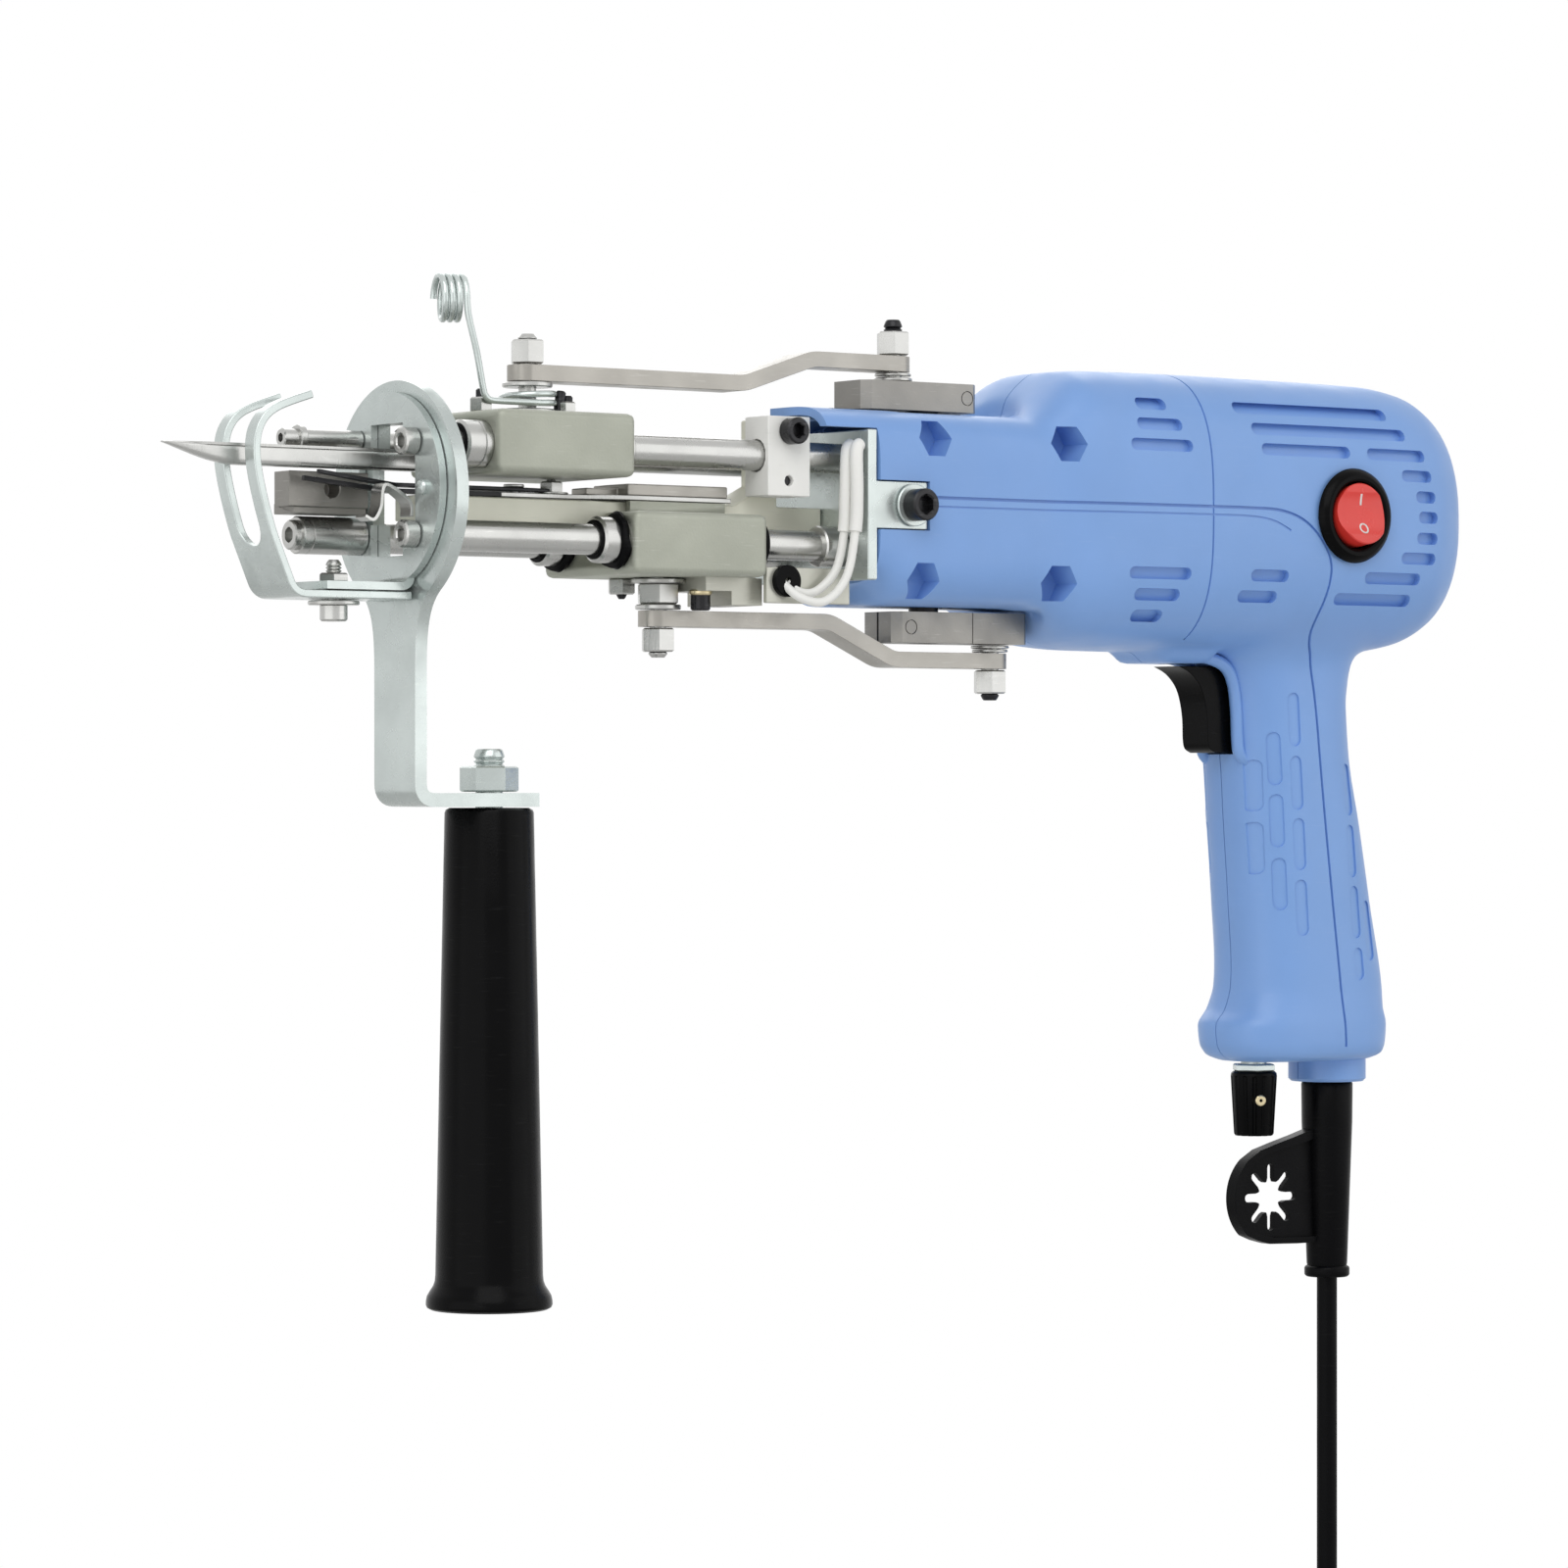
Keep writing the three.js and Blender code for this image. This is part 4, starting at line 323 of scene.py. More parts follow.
# The plane (xy, xz or yz) names the outline's two axes; low and high are along the third
def prism(outline, low, high, plane):
    spots = {"xy": lambda p, t: (p[0], p[1], t), "xz": lambda p, t: (p[0], t, p[1]), "yz": lambda p, t: (t, *p)}
    count = len(outline)
    points = [Vector(spots[plane](p, t)) for t in (low, high) for p in outline]
    faces = [tuple(range(count)), tuple(range(2 * count - 1, count - 1, -1))]
    return points, faces + [(i, i + count, (i + 1) % count + count, (i + 1) % count) for i in range(count)]


def cuboid(x, y, z):
    return prism([(x[0], y[0]), (x[1], y[0]), (x[1], y[1]), (x[0], y[1])], z[0], z[1], "xy")


def arc(x, z, radius, start, end, steps):
    turns = [radians(start + (end - start) * i / steps) for i in range(steps + 1)]
    return [(x + radius * cos(t), z + radius * sin(t)) for t in turns]


def stadium(near, far, half, steps=8):
    near, far = Vector(near), Vector(far)
    along = degrees(atan2(far.y - near.y, far.x - near.x))
    shift = (far - near).normalized() * half
    ends = ((far - shift, along - 90), (near + shift, along + 90))
    return [spot for end, start in ends for spot in arc(end.x, end.y, half, start, start + 180, steps)]


# A smooth line through the given points
def curve(points, steps=8):
    fine, last = [], len(points) - 1
    for i in range(last):
        a, b, c, d = (Vector(points[max(0, min(last, k))]) for k in (i - 1, i, i + 1, i + 2))
        fine += [0.5 * (2 * b + (c - a) * t + (2 * a - 5 * b + 4 * c - d) * t * t + (3 * b - a - 3 * c + d) * t ** 3)
                 for t in (s / steps for s in range(steps))]
    return fine + [Vector(points[-1])]


# A thin closed outline around a smooth line
def ribbon(line, half):
    fine, last = curve(line, 5), 5 * (len(line) - 1)
    ways = [(fine[min(i + 1, last)] - fine[max(i - 1, 0)]).normalized() for i in range(last + 1)]
    edges = [[tuple(spot + Vector((-way.y, way.x)) * reach) for spot, way in zip(fine, ways)]
             for reach in (half, -half)]
    return edges[0] + edges[1][::-1]


# Corners of a line turned into bends
def rounded(points, reach, steps=8):
    fine = [Vector(points[0])]
    for before, corner, after in zip(points, points[1:], points[2:]):
        corner = Vector(corner)
        a, b = (corner + (Vector(end) - corner).normalized() * reach for end in (before, after))
        fine += [a * (1 - t) ** 2 + corner * 2 * t * (1 - t) + b * t * t for t in (s / steps for s in range(steps + 1))]
    return fine + [Vector(points[-1])]


# The closed outline of a sheet bent along a line
def strip(line, thick):
    line, edges = [Vector(p) for p in line], ([], [])
    for i, spot in enumerate(line):
        before = (spot - line[i - 1]).normalized() if i else (line[1] - spot).normalized()
        after = (line[i + 1] - spot).normalized() if spot is not line[-1] else before
        middle = (before + after).normalized()
        across = Vector((-middle.y, middle.x)) * thick / 2 / max(0.5, middle.dot(after))
        for edge, way in zip(edges, (1, -1)):
            edge.append(tuple(spot + across * way))
    return edges[0] + edges[1][::-1]


def smoothMesh(mesh, angle):
    for face in mesh.polygons:
        face.use_smooth = True
    mesh.set_sharp_from_angle(angle=radians(angle))


def makeMesh(name, parts, smooth=32):
    mesh, work = bpy.data.meshes.new(name), bmesh.new()
    for points, faces in parts:
        verts = [work.verts.new(place(p)) for p in points]
        for face in faces:
            if len(face) > 2:
                work.faces.new([verts[i] for i in face])
    bmesh.ops.remove_doubles(work, verts=work.verts, dist=1e-7)
    bmesh.ops.recalc_face_normals(work, faces=work.faces)
    work.to_mesh(mesh)
    work.free()
    smoothMesh(mesh, smooth)
    return addObject(name, mesh)


def soften(made, width, segments=2, angle=35):
    bevel = made.modifiers.new("softEdge", "BEVEL")
    bevel.width, bevel.segments = width * mm, segments
    bevel.limit_method, bevel.angle_limit = "ANGLE", radians(angle)
    bevel.harden_normals = True
    return made


# The mesh as its modifiers leave it
def bake(made):
    old = made.data
    mesh = bpy.data.meshes.new_from_object(made.evaluated_get(bpy.context.evaluated_depsgraph_get()))
    made.modifiers.clear()
    made.data = mesh
    bpy.data.meshes.remove(old)
    return made


def combine(made, parts, operation="DIFFERENCE"):
    other = parts if isinstance(parts, bpy.types.Object) else makeMesh("tool", parts)
    cut = made.modifiers.new("cut", "BOOLEAN")
    cut.operation, cut.solver, cut.object = operation, "MANIFOLD", other
    bake(made)
    bpy.data.objects.remove(other)


def finishPiece(made, paintName, body, *stands):
    made.data.materials.clear()
    made.data.materials.append(paints[paintName])
    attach(made, body)
    if stands:
        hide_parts(*stands)
    return made


def addPiece(name, paintName, body, parts, *stands, smooth=32):
    return finishPiece(makeMesh(name, parts, smooth), paintName, body, *stands)


def ringPiece(name, paintName, body, solids, *stands, steps=48, smooth=24):
    return addPiece(name, paintName, body, [turned(*solid, steps) for solid in solids], *stands, smooth=smooth)


# Mains cord: straight down from the strain relief, then a tied hank
cord = {"x": 313, "exit": 213, "radius": 3, "shown": 0.97, "leadSteps": 12}
hank = {"top": 352, "straight": 50, "inner": 18, "step": 7.2, "turns": 6, "layer": 3.5, "waist": 9, "climb": 0.2,
        "fold": pi * 18 * 1.6, "tail": 50, "stepsPerTurn": 48}


def hankReach(turn):
    return hank["inner"] + hank["step"] * abs(turn - hank["turns"] / 2)


def hankPoint(turn):
    reach, run, fold = hankReach(turn), hank["straight"], hank["fold"]
    rising, way = divmod(turn % 1 * 2 * (fold + run), fold + run)
    bend = -pi * max(0, way - run) / fold
    x, z = reach * cos(bend), run / 2 - min(way, run) + reach * sin(bend)
    if rising:
        x, z = -x, -z
    pull = hank["waist"] * cos(pi * z / run) ** 2 if abs(z) < run / 2 else 0
    layer = max(-1, min(1, (turn - hank["turns"] / 2) / hank["climb"]))
    middleX, middleZ = cord["x"] - hankReach(0), -hank["top"] - run / 2
    return Vector((middleX + x - copysign(min(pull, abs(x)), x), hank["layer"] * (1 + layer), middleZ + z))


def cordRoute():
    steps, upward = hank["stepsPerTurn"], Vector((0, 0, 2 * cord["radius"]))
    lastRun = round(hank["straight"] / 2 / (hank["fold"] + hank["straight"]) * steps)
    coil = [hankPoint(i / steps) for i in range(hank["turns"] * steps + lastRun + 1)]
    drop = coil[0].z + 2 * cord["radius"] + cord["exit"]
    lead = [Vector((cord["x"], 0, -cord["exit"] + drop * i / cord["leadSteps"])) for i in range(cord["leadSteps"])]
    return lead + [coil[0] + upward] + coil + [coil[-1] - Vector((0, 0, hank["tail"]))]


def makeCord():
    route = cordRoute()
    line = bpy.data.curves.new("mains_cord", "CURVE")
    line.dimensions, line.use_fill_caps = "3D", True
    line.bevel_depth, line.bevel_resolution = cord["radius"] * mm * cord["shown"], 5
    spline = line.splines.new("POLY")
    spline.points.add(len(route) - 1)
    for point, spot in zip(spline.points, route):
        point.co = (*place(spot), 1)
    spline.use_smooth = True
    made = finishPiece(addObject("mains_cord", line), "cord_rubber", "root", "cord", "hank")
    makePlug() + [frame["nodes"]["cord_tie"]]


plug = {"half": 9, "bulge": 11.25, "thick": 6.4, "long": 30, "sleeve": 5, "sleeveTop": 4, "pin": 2, "pinLong": 16,
        "pinEnd": 0.9, "spread": 6.4, "edge": 1.5, "tip": 1.2}


# Moulded plug with two bare metal pins, hung where its CAD node hangs
def makePlug():
    node = frame["nodes"]["plug"]
    spots = [(node.matrix_world @ Vector(spot)) / mm + gripPoint for spot in node.bound_box]
    x, y = (sum(spot[i] for spot in spots) / 8 for i in (0, 1))
    low, high = min(spot.z for spot in spots), max(spot.z for spot in spots)
    face, half, thick, bulge = low + plug["pinLong"], plug["half"], plug["thick"], plug["bulge"]
    outline = [(x - half, y - thick), (x + half, y - thick), (x + bulge, y), (x + half, y + thick),
               (x - half, y + thick), (x - bulge, y)]
    shell = makeMesh("plug_body", [prism(outline, face, face + plug["long"], "xy")], 35)
    soften(shell, plug["edge"], 4)
    sunk, pinEnd = high - face - plug["long"] + 1, plug["pinLong"] + 3
    finishPiece(shell, "cord_rubber", "root", "plug")
    return [shell, ringPiece("plug_sleeve", "cord_rubber", "root", [((x, y, high), down, [
        (0, cord["radius"]), (0, plug["sleeveTop"]), (sunk, plug["sleeve"]), (sunk, 0), (0.01, 0)])], smooth=30),
            ringPiece("plug_contacts", "plug_pins", "root", [((x + side * plug["spread"], y, low), up, [
                (0, 0), (0, plug["pinEnd"]), (plug["tip"], plug["pin"]), (pinEnd, plug["pin"]), (pinEnd, 0)])
                for side in (-1, 1)], smooth=30)]


makeCord()


# Casing: a smooth skin found from fields of distance, then cut and split into two halves
bodySections = [  # along the machine: place, rise, fall, half width, squareness
    (106, 25, 21.4, 27, 5), (133.4, 25, 21.4, 27, 5), (143, 25, 27, 27, 5), (187, 25.2, 27.2, 27.2, 4.6),
    (207, 38.2, 36.2, 30, 3.6), (222, 39, 37.4, 31, 3.1), (250, 39.3, 37.6, 31.6, 2.9), (292, 39.1, 37.5, 32, 2.8),
    (316, 38.8, 37, 31.6, 2.7), (328, 37.4, 35.4, 30.2, 2.6), (337, 33.8, 32, 27, 2.5), (343.4, 27.8, 26.4, 22, 2.4),
    (347, 19, 18, 15, 2.3), (348.4, 8, 7.6, 6.4, 2.2)]
handleSections = [  # down the handle: depth, middle, half length, half width, squareness
    (20, 291, 20, 17, 2.6), (26, 291, 20, 17, 2.6), (42, 292, 22, 17.4, 2.6), (52, 292.4, 20.6, 17.2, 2.6),
    (66, 293.6, 20.6, 17, 2.6), (86, 296.4, 22, 17, 2.6), (107, 299.2, 23.2, 17, 2.6), (131, 301.9, 25, 17.2, 2.7),
    (137, 301, 26, 17.6, 2.8), (142, 299.9, 28.4, 18, 2.8), (147, 300, 28, 17.8, 2.8), (150, 300.4, 26.6, 17, 2.8),
    (152, 300.6, 23, 14.6, 2.7)]
casing = {"wall": 2.4, "seam": 0.15, "front": 133.4, "hoodFront": 117, "hoodLow": 19.3, "blend": 9, "grid": 1.5,
          "innerGrid": 2.4, "rim": 1.6, "guardBlend": 4, "guard": (243, -36, 250, 11.5, 4.6, 3), "slotHalf": 1.65,
          "slotDeep": 2, "lineDeep": 0.5, "shadowDeep": 0.35, "lineHalf": 0.28, "seamDeep": 0.8, "seamHalf": 0.42,
          "ribHalf": 1.9, "ring": 243.9, "ringLow": -34.5, "boss": (158.4, 11, 0.8, 9), "near": 8, "far": 60,
          "sharp": 28, "notch": (23.5, 149.7, -7.3, 5.7), "switch": (294.2, 0.4), "ahead": 100,
          "triggerSlot": ((250, 286), (-7.4, 7.4), (-65.8, -41.1)), "along": (90, 400), "upright": (-200, 100)}
well = {"x": 168.2, "spread": 0.3, "ends": ((25, 26.4, 1), (-27.2, 31.4, -1)), "deep": 30}
vents = [(220.6, 231.3, 29.2), (219.2, 235, 23.6), (216.1, 237.6, 17.9), (255.3, 312.4, 29.3), (259.7, 317, 23.6),
         (262.1, 294.4, 18), (300.8, 323.5, 17.9), (313.3, 325.5, 12.2), (318.5, 326.8, 6.4), (319.6, 327.7, 0.7),
         (318.9, 327.7, -5.2), (313.1, 327.2, -10.9), (299.9, 321.5, -16.7), (289.9, 319.2, -22.7),
         (215.5, 237, -16.9), (218.2, 234.1, -22.7), (219.2, 230.1, -28.4), (258.2, 271.8, -16.8),
         (254.7, 268.8, -22.6)]
pocket = {"flats": 4.7, "floor": 17.4, "skin": 1.2, "post": 6.4,
          "spots": [(152.2, 17.2), (196.4, 17.2), (148.6, -20.5), (193.7, -20.3)]}
handleRibs = [  # middle and depth at the top end, and at the bottom end
    (285.4, 48.6, 286.6, 63.6), (279.9, 59.6, 281.1, 74.5), (275.9, 67.3, 276.7, 81.8), (286.6, 66.2, 287.7, 81.4),
    (281.2, 76.9, 282.2, 91.8), (276.7, 84.7, 277.7, 99.4), (287.8, 83.6, 288.8, 98.2), (282.4, 94.7, 283.4, 109.4),
    (288.8, 100.8, 289.9, 116.6), (306.6, 68.4, 307.6, 83), (307.4, 85.6, 308.4, 100.4), (308.6, 102.8, 309.6, 117.6),
    (309.8, 120.2, 310.6, 129.4), (314.6, 107, 316, 124)]
sideSeam = [(150.6, 1.5), (200, 1.5), (243.6, 1.6), (255.7, 1.6), (267.1, 1.3), (275.1, -0.7), (280.7, -4.3),
            (284.9, -9.1), (286.9, -13.6), (287.1, -18.4), (286.4, -24), (286, -27.6), (286.5, -31.4), (288.2, -34.8),
            (290.4, -38.6), (292.4, -46.2), (293.9, -55), (294.9, -63), (296.9, -81), (299.7, -104), (302.3, -125),
            (303.6, -137.4), (304.6, -148)]
seamShadow = [(150.6, -0.9), (200, -0.8), (243.6, -0.6), (257.5, -0.7), (265.4, -1.7), (271.6, -4.2)]
openings = [  # start, axis, radius and length of the round holes through the wall
    ((285.6, 0, -160), up, 3.9, 12), ((cord["x"], 0, -165), up, 7.4, 20), ((well["x"], 0, -45), up, 5.2, 90),
    ((casing["switch"][0], -60, casing["switch"][1]), away, 9.9, 44)]


# A smooth curve through one column of a table, with no overshoot
def column(rows, index, at):
    xs, ys = np.array([r[0] for r in rows], float), np.array([r[index] for r in rows], float)
    step, slope = np.diff(xs), np.diff(ys) / np.diff(xs)
    product, total = slope[:-1] * slope[1:], slope[:-1] + slope[1:]
    inner = np.where(product > 0, 2 * product / np.where(total == 0, 1, total), 0)
    bend = np.concatenate([[slope[0]], inner, [slope[-1]]])
    i = np.clip(np.searchsorted(xs, at) - 1, 0, len(xs) - 2)
    t = np.clip((at - xs[i]) / step[i], 0, 1)
    return (ys[i] * (1 + 2 * t) * (1 - t) ** 2 + bend[i] * step[i] * t * (1 - t) ** 2
            + ys[i + 1] * t * t * (3 - 2 * t) - bend[i + 1] * step[i] * t * t * (1 - t))


def softMax(a, b, width):
    share = np.clip(0.5 + 0.5 * (a - b) / width, 0, 1)
    return b * (1 - share) + a * share + width * share * (1 - share)


def softMin(a, b, width):
    return -softMax(-a, -b, width)


def ovalField(across, along, half, tall, square):
    ratio = ((np.abs(across) / half) ** square + (np.abs(along) / tall) ** square) ** (1 / square)
    return np.hypot(across, along) * (1 - 1 / np.maximum(ratio, 1e-3))


def bodyField(x, y, z):
    rise, fall, half, square = (column(bodySections, i, x) for i in (1, 2, 3, 4))
    return softMax(ovalField(y, z, half, np.where(z > 0, rise, fall), square), x - bodySections[-1][0], casing["rim"])


def handleField(x, y, z):
    middle, long, half, square = (column(handleSections, i, -z) for i in (1, 2, 3, 4))
    side = softMax(ovalField(x - middle, y, long, half, square), -z - handleSections[-1][0], casing["rim"])
    return softMax(side, handleSections[0][0] + z, 1)


def guardField(p):
    x, z, rear, half, tall, blunt = casing["guard"]
    off = np.abs(p - np.array([(x + rear) / 2 + 6, 0, z])) - np.array([(rear - x) / 2 + 6, half, tall]) + blunt
    return np.linalg.norm(np.maximum(off, 0), axis=1) + np.minimum(off.max(axis=1), 0) - blunt


# The round wells above and below, in which the crank blocks turn
def wellField(p, grow):
    out, z = np.hypot(p[:, 0] - well["x"], p[:, 1]), p[:, 2]
    return np.minimum(*(np.maximum(out - reach - grow - well["spread"] * np.maximum(way * (z - level), 0),
                                   way * (level - z) - grow) for level, reach, way in well["ends"]))


def casingField(p, inset):
    skin = softMin(bodyField(*p.T), handleField(*p.T), casing["blend"])
    skin = softMin(skin, guardField(p), casing["guardBlend"])
    return softMax(skin + inset, -wellField(p, inset), casing["rim"])


# Smooths a mesh and moves its points to where the field is zero
def pullOnto(mesh, field, rounds=3, small=0.05, limit=1.5):
    spots, ends = np.empty(len(mesh.vertices) * 3), np.empty(len(mesh.edges) * 2, int)
    mesh.vertices.foreach_get("co", spots)
    mesh.edges.foreach_get("vertices", ends)
    spots, ends = spots.reshape(-1, 3) / mm + np.array(gripPoint), ends.reshape(-1, 2)
    count = np.bincount(ends.ravel(), minlength=len(spots))[:, None]
    for _ in range(rounds):
        total = np.zeros_like(spots)
        np.add.at(total, ends[:, 0], spots[ends[:, 1]])
        np.add.at(total, ends[:, 1], spots[ends[:, 0]])
        spots = spots * 0.5 + total / count * 0.5
        for _ in range(3):
            value = field(spots)
            slope = np.stack([(field(spots + step * small) - value) / small for step in np.eye(3)], axis=1)
            stride = value[:, None] * slope / np.maximum((slope ** 2).sum(axis=1), 0.05)[:, None]
            spots = spots - np.clip(stride, -limit, limit)
    mesh.vertices.foreach_set("co", ((spots - np.array(gripPoint)) * mm).ravel())
    mesh.update()


# Half extents are along the ring's two axes; fall is the second one's on its lower side
def ovalRing(half, rise, fall, square, spot, count=48):
    ring = []
    for c, s in ((cos(turn), sin(turn)) for turn in around(count, 0.5)):
        a = copysign(abs(c) ** (2 / square), c) * half
        ring.append(spot(a, copysign(abs(s) ** (2 / square), s) * (rise if s > 0 else fall)))
    return ring


def roughSkin(inset, grid):
    rings = [ovalRing(*(max(size - inset, 1) for size in (half, rise, fall)), square,
                      lambda a, b, x=x, cut=inset * (row == len(bodySections) - 1): (x - cut, a, b))
             for row, (x, rise, fall, half, square) in enumerate(bodySections)]
    body = makeMesh("casing_skin", [skinned(rings)])
    for level, reach, way in well["ends"]:
        deep = well["deep"]
        combine(body, [turned((well["x"], 0, level - inset * way), (0, 0, way), [
            (0, 0), (0, reach + inset), (deep, reach + inset + deep * well["spread"]), (deep, 0)])])
    x, z, rear, half, tall, _ = casing["guard"]
    rings = [ovalRing(side - inset, long - inset, long - inset, square,
                      lambda a, b, m=middle, low=inset * (row == len(handleSections) - 1) - depth: (m + b, a, low))
             for row, (depth, middle, long, side, square) in enumerate(handleSections)]
    guard = cuboid((x + inset, rear + 12), (inset - half, half - inset), (z - tall + inset, z + tall))
    rest = makeMesh("rest", [skinned(rings), guard])
    work = bmesh.new()
    for part in (body, rest):
        work.from_mesh(part.data)
    body.data = bpy.data.meshes.new("casing_skin")
    work.to_mesh(body.data)
    work.free()
    bpy.data.objects.remove(rest)
    grain = body.modifiers.new("grid", "REMESH")
    grain.mode, grain.voxel_size = "VOXEL", grid * mm
    bake(body)
    pullOnto(body.data, lambda p: casingField(p, inset))
    return body


# What lies outside the skin set in by a depth cuts grooves of that depth
def groove(outlines, depth):
    far, near = casing["far"], casing["near"]
    tool = makeMesh("lines", [prism(outline, *ends, "xz")
                              for outline in outlines for ends in ((-far, -near), (near, far))])
    combine(tool, roughSkin(depth, casing["innerGrid"]))
    return tool


def makeCasing():
    skin, inner = roughSkin(0, casing["grid"]), roughSkin(casing["wall"], casing["innerGrid"])
    far, seam, ring, floor = casing["far"], casing["seam"], casing["ring"], pocket["floor"]
    low, half, blunt, long = casing["boss"]
    combine(skin, [turned((cord["x"], 0, -low), up, [
        (0, 0), (0, half - blunt), (blunt, half), (long, half), (long, 0)])], "UNION")
    cutters = [groove([stadium((x0, z), (x1, z), casing["slotHalf"]) for x0, x1, z in vents], casing["slotDeep"]),
               groove([stadium((xa, -za), (xb, -zb), casing["ribHalf"], 6) for xa, za, xb, zb in handleRibs],
                      casing["lineDeep"]),
               groove([ribbon(sideSeam, casing["seamHalf"])], casing["seamDeep"]),
               groove([ribbon(seamShadow, casing["lineHalf"])], casing["shadowDeep"])]
    lines = makeMesh("ring", [cuboid((ring - casing["lineHalf"], ring + casing["lineHalf"]), (-far, far),
                                     (casing["ringLow"], far))])
    combine(lines, roughSkin(casing["lineDeep"], casing["innerGrid"]))
    for tool in cutters + [lines]:
        combine(skin, tool)
    combine(inner, [pin((x, way * (floor - 1), z), (0, way, 0), pocket["post"], 20)
                    for x, z in pocket["spots"] for way in (-1, 1)])
    reach = pocket["flats"] / cos(pi / 6)
    hexes = [arc(x, z, reach, 0, 300, 5) for x, z in pocket["spots"]]
    deep = floor + pocket["skin"]
    combine(skin, [prism(outline, *ends, "xz") for outline in hexes for ends in ((-far, -deep), (deep, far))])
    combine(skin, inner)
    ahead, front, hood = casing["ahead"], casing["front"], casing["hoodLow"]
    combine(skin, [cuboid((ahead, front), (seam - 0.4, far), (-far, far)), cuboid(*casing["triggerSlot"])]
            + [pin(*opening) for opening in openings])
    combine(skin, [cuboid((ahead, front), (-far, seam), (-far, hood))])
    combine(skin, [cuboid((ahead, casing["hoodFront"]), (-far, seam), (hood - 5, far))])
    notch, rear, *heights = casing["notch"]
    combine(skin, [cuboid((front - 5, rear), ends, heights) for ends in ((-far, -notch), (notch, far))])
    for name, ends, node in (("casing_near", (-far, -seam), "casing_left"),
                             ("casing_far", (seam, far), "casing_right")):
        made = addObject(name, skin.data.copy())
        combine(made, [cuboid(casing["along"], ends, casing["upright"])], "INTERSECT")
        smoothMesh(made.data, casing["sharp"])
        finishPiece(made, "casing", "root", node)
        print(name, len(made.data.polygons), "faces")
    bpy.data.objects.remove(skin)


makeCasing()
print("casing is in")


# Round pieces: profiles of nuts, threads, washers and screws, each from a start along the axis
def hexNut(start, long, flats, hole, turn=pi / 6):
    end, edge = start + long, flats - 0.45
    sides = [(start, edge), (start + 0.4, flats), (end - 0.4, flats), (end, edge)]
    return [(start, hole)] + [(at, 99, width, turn) for at, width in sides] + [(end, hole), (start, hole)]


def stud(start, end, radius, threadFrom=None, pitch=1.0, blunt=0.4, deep=0.45):
    if threadFrom is None:
        return [(start, 0), (start, radius - blunt), (start + blunt, radius), (end - blunt, radius),
                (end, radius - blunt), (end, 0)]
    long, rows = end - threadFrom - blunt, [(start, 0), (start, radius)]
    for at in (threadFrom + i * pitch for i in range(int(long / pitch))):
        rows += [(at, radius - deep), (at + pitch * 0.35, radius), (at + pitch * 0.55, radius)]
    return rows + [(threadFrom + long, radius - deep), (end, radius - 2 * blunt), (end, 0)]


def washer(start, thick, radius, hole):
    blunt, end = min(0.25, thick / 4), start + thick
    return [(start, hole), (start, radius - blunt), (start + blunt, radius), (end - blunt, radius),
            (end, radius - blunt), (end, hole), (start, hole)]


def socketScrew(head, headLong, shank, shankLong, socket, socketDeep=2.2, blunt=0.45):
    end = headLong + shankLong
    return [(socketDeep, 0), (socketDeep, 9, socket), (0.35, 9, socket), (0, socket * 1.22), (0, head - blunt),
            (blunt, head), (headLong - 0.15, head), (headLong, head - 0.15), (headLong, shank), (end, shank), (end, 0)]


def stack(spot, axis, *profiles):
    return [(spot, axis, rows) for rows in profiles]


rods = {"radius": 4, "front": 3.8, "long": 125.7, "side": 13, "height": 11.6, "collar": 5.4, "collarLong": 7,
        "bore": 2.3, "boreDeep": 8}
bush = {"lip": 7.5, "long": 51.1, "hole": 4.3, "radius": 6, "groove": 5.7, "fronts": {"upper": 17.7, "lower": 59.4}}


def onRod(x, side, way):
    return x, rods["side"] * side, rods["height"] * way


def makeRods():
    deep, bore, radius, long, hole = rods["boreDeep"], rods["bore"], rods["radius"], rods["long"], bush["hole"]
    tail, collar, wide, end = long - rods["collarLong"], rods["collar"], bush["radius"], bush["long"]
    starts = {"near": [(deep, 0), (deep, bore), (0, bore)], "far": [(0, 0)]}
    ends = {"upper": [(long, radius)],
            "lower": [(tail, radius), (tail, collar - 0.4), (tail + 0.4, collar), (long, collar)]}
    sleeve = [(0, hole), (0, 5.3), (0.6, wide), (4.6, wide), (4.8, bush["groove"]), (5.2, bush["groove"]), (5.4, wide),
              (end - 0.5, wide), (end, wide - 0.5), (end, hole), (0, hole)]
    for level, way in levels.items():
        for side, across in sides.items():
            rows = starts[side] + [(0, radius - 0.5), (0.5, radius)] + ends[level] + [(long, 0)]
            ringPiece(f"rod_{level}_{side}", "steel", "root", [(onRod(rods["front"], across, way), back, rows)],
                      f"guide_rod_{level}_{side}")
            ringPiece(f"bush_{level}_{side}", "steel", f"{level}_slide",
                      [(onRod(bush["fronts"][level] - bush["lip"], across, way), back, sleeve)],
                      f"{level}_bush_{side}")


posts = {"upper": (40.2, 0, 0), "lower": (81, 0, 0), "radius": 2.5, "from": 13.6, "end": 41.2, "thread": 39.7}
pins = {"upper": (157.9, 0, 0), "lower": (191, 0, 0), "radius": 2.4}


